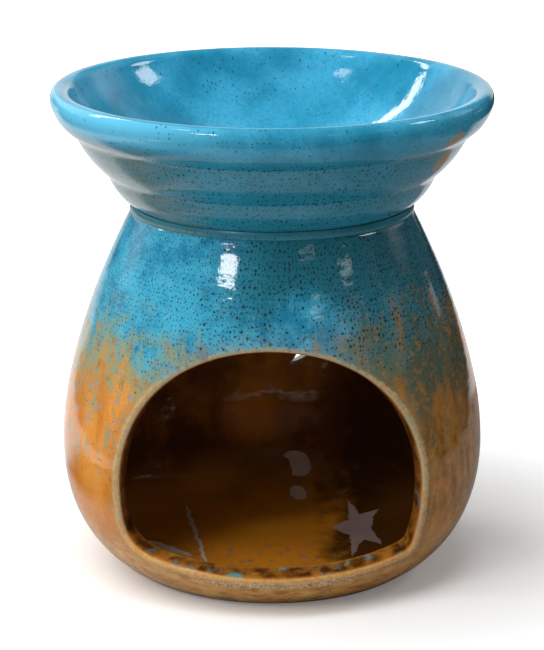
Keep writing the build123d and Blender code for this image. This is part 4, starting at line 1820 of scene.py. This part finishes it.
@dataclass
class Studio:
    """Pale floor, soft lights and the camera."""

    camera_distance: float = 0.7218
    camera_height: float = 0.2629
    camera_dip: float = 15.58
    lens: float = 164.3
    floor_size: float = 3.0
    aim_height: float = 0.075
    surround_glow: float = 0.16
    softboxes: tuple[Softbox, ...] = (
        Softbox("key_window", -35.0, 33.5, 1.0, 0.19, 0.082, 18.0),
        Softbox("key_fill", -38.0, 35.0, 1.0, 0.55, 0.50, 2.3, mirrored=False),
        Softbox("overhead", -40.0, 72.0, 1.2, 1.0, 1.0, 3.4, mirrored=False),
        Softbox("left_wall", -98.0, 20.0, 1.0, 1.1, 0.75, 1.5, mirrored=False),
        Softbox("right_strip", 128.0, 2.4, 1.0, 0.11, 0.06, 0.6),
        Softbox("bowl_streak", -126.0, 41.0, 1.0, 0.54, 0.080, 13.0, tilt=-36.0),
        Softbox("right_window", 97.0, 40.0, 1.0, 0.18, 0.17, 8.0),
        Softbox("small_window", -60.5, 54.0, 1.0, 0.12, 0.12, 6.0),
        Softbox("side_window", 58.2, 28.9, 1.0, 0.15, 0.042, 2.6),
        Softbox("front_window", 31.2, 27.3, 1.0, 0.13, 0.028, 3.2),
        Softbox("low_window", 22.4, 22.8, 1.0, 0.10, 0.012, 3.2),
        Softbox("high_window", 28.3, 36.3, 1.0, 0.20, 0.009, 3.5),
    )

    def build(self) -> None:
        """Make the camera, the floor, the surroundings and the lamps."""
        self._camera()
        self._floor()
        self._surroundings()
        for softbox in self.softboxes:
            softbox.build(Vector((0.0, 0.0, self.aim_height)))

    def _camera(self) -> None:
        """Camera at the fitted place, level from side to side."""
        data = bpy.data.cameras.new("view")
        data.lens = self.lens
        camera = bpy.data.objects.new("view", data)
        camera.location = (0.0, -self.camera_distance, self.camera_height)
        camera.rotation_euler = (math.radians(90.0 - self.camera_dip), 0.0, 0.0)
        bpy.context.scene.collection.objects.link(camera)
        bpy.context.scene.camera = camera

    def _floor(self) -> None:
        """Pale floor: white to the camera, and in the glaze only as far as the studio's table."""
        mesh = bpy.data.meshes.new("floor")
        half = self.floor_size / 2
        mesh.from_pydata([(-half, -half, 0), (half, -half, 0), (half, half, 0), (-half, half, 0)], [],
                         [(0, 1, 2, 3)])
        floor = bpy.data.objects.new("floor", mesh)
        bpy.context.scene.collection.objects.link(floor)
        material = bpy.data.materials.new("pale_floor")
        material.use_nodes = True
        w = Wiring(material.node_tree)
        shader = material.node_tree.nodes["Principled BSDF"]
        shader.inputs["Roughness"].default_value = 1.0
        shader.inputs["Specular IOR Level"].default_value = 0.0
        path = w.node("ShaderNodeLightPath")
        parts = w.split(w.coordinates("Object"))
        across, along = parts.outputs[0], parts.outputs[1]
        table = w.product(w.ease(across, -0.100, -0.074), w.ease(across, 0.195, 0.180))
        table = w.product(table, w.ease(across, 0.02, 0.10, 0.68, 0.42))
        strip = w.product(w.ease(across, -0.210, -0.185), w.ease(across, -0.145, -0.165))
        far = w.maths("SUBTRACT", along, w.ease(across, -0.02, 0.05, 0.0, 0.11))
        back = w.product(w.ease(far, 0.03, 0.085), w.ease(across, 0.24, 0.18))
        straight = w.total(along, w.product(across, 1.1))
        straight = w.most(w.ease(across, -0.24, -0.18), w.ease(straight, -0.06, 0.08))
        back = w.product(back, w.most(straight, 0.12))
        lit = w.most(table, w.product(strip, 0.9), back)
        lit = w.most(lit, 0.06)
        lit = w.product(lit, w.ease(along, -0.16, -0.12))
        seen = w.most(path.outputs["Is Camera Ray"], path.outputs["Is Transmission Ray"])
        mirrored = w.product(path.outputs["Is Glossy Ray"], lit)
        shade = w.ease(w.most(seen, mirrored), 0.0, 1.0, 0.55, 0.92)
        dim = w.flip(w.product(path.outputs["Is Glossy Ray"], w.flip(lit)))
        grey = w.node("ShaderNodeCombineColor", {"Red": w.product(shade, dim)})
        for channel in ("Green", "Blue"):
            w.tree.links.new(w.product(shade, dim), grey.inputs[channel])
        w.tree.links.new(grey.outputs[0], shader.inputs["Base Color"])
        shader.inputs["Emission Color"].default_value = WHITE
        place = w.coordinates("Object")
        away = w.node("ShaderNodeVectorMath", {"Vector": place}, operation="LENGTH").outputs["Value"]
        glow = w.ease(away, 0.06, 0.24, 0.14, 1.0)
        w.tree.links.new(w.product(seen, glow), shader.inputs["Emission Strength"])
        mesh.materials.append(material)

    def _surroundings(self) -> None:
        """White to the camera. In the glaze it is pale behind and beside the pot, and dark in front."""
        world = bpy.data.worlds.new("surroundings")
        bpy.context.scene.world = world
        world.use_nodes = True
        w = Wiring(world.node_tree)
        backdrop = world.node_tree.nodes["Background"]
        path = w.node("ShaderNodeLightPath")
        parts = w.split(w.coordinates("Generated"))
        back, up = parts.outputs[1], parts.outputs[2]
        right = w.ease(parts.outputs[0], -0.2, 0.3)
        near_right = w.product(w.ease(back, 0.15, 0.45), w.ease(back, 0.76, 0.58))
        near_left = w.product(w.ease(back, 0.15, 0.60), w.flip(right))
        near_right = w.product(near_right, w.ease(up, 0.16, 0.36))
        near_left = w.product(near_left, w.ease(up, 0.04, 0.20))
        beside = w.most(w.product(near_right, right), near_left)
        behind = w.most(w.ease(back, 0.87, 0.97, 0.05, 1.0), beside)
        overhead = w.ease(parts.outputs[0], -0.10, -0.50, 0.25, 0.70)
        behind = w.product(behind, w.ease(up, 0.75, 0.3, overhead, 1.0))
        mirrored = w.product(path.outputs["Is Glossy Ray"], behind)
        seen = w.most(path.outputs["Is Camera Ray"], path.outputs["Is Transmission Ray"])
        strength = w.most(seen, mirrored, w.product(path.outputs["Is Diffuse Ray"], self.surround_glow))
        backdrop.inputs["Color"].default_value = WHITE
        w.tree.links.new(strength, backdrop.inputs["Strength"])


def dress(piece: bpy.types.Object, node: str, material: bpy.types.Material) -> None:
    """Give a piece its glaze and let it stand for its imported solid.

    Args:
        piece: The fine mesh.
        node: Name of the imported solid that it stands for.
        material: The glaze.
    """
    piece.data.materials.append(material)
    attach(piece, "root")
    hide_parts(node)
    LOG.info("%s stands for %s in %s", piece.name, node, material.name)


def main() -> None:
    """Load the frame, build and dress each piece, and set the studio."""
    logging.basicConfig(level=logging.INFO, format="%(name)s: %(message)s")
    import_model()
    effects = GlazeEffects()
    bowl_glaze = TurquoiseGlaze("turquoise_glaze").material(effects)
    # The bead's glaze is the turquoise in darker colours: painted shade under the bowl.
    bead_glaze_painted_shade = TurquoiseGlaze(
        "bead_glaze_painted_shade", deep=(0.018, 0.170, 0.230, 1.0), bright=(0.028, 0.215, 0.290, 1.0),
        pale=(0.120, 0.260, 0.290, 1.0), roughness=0.30).material(effects)
    dress(Chamber().build(), "chamber", ReactiveGlaze().material(effects))
    dress(OilBowl().build(), "oil_bowl", bowl_glaze)
    dress(LutingCoil().build(), "luting_coil", bead_glaze_painted_shade)
    Studio().build()
    bpy.context.scene.view_settings.view_transform = "Standard"


if __name__ == "__main__":
    main()
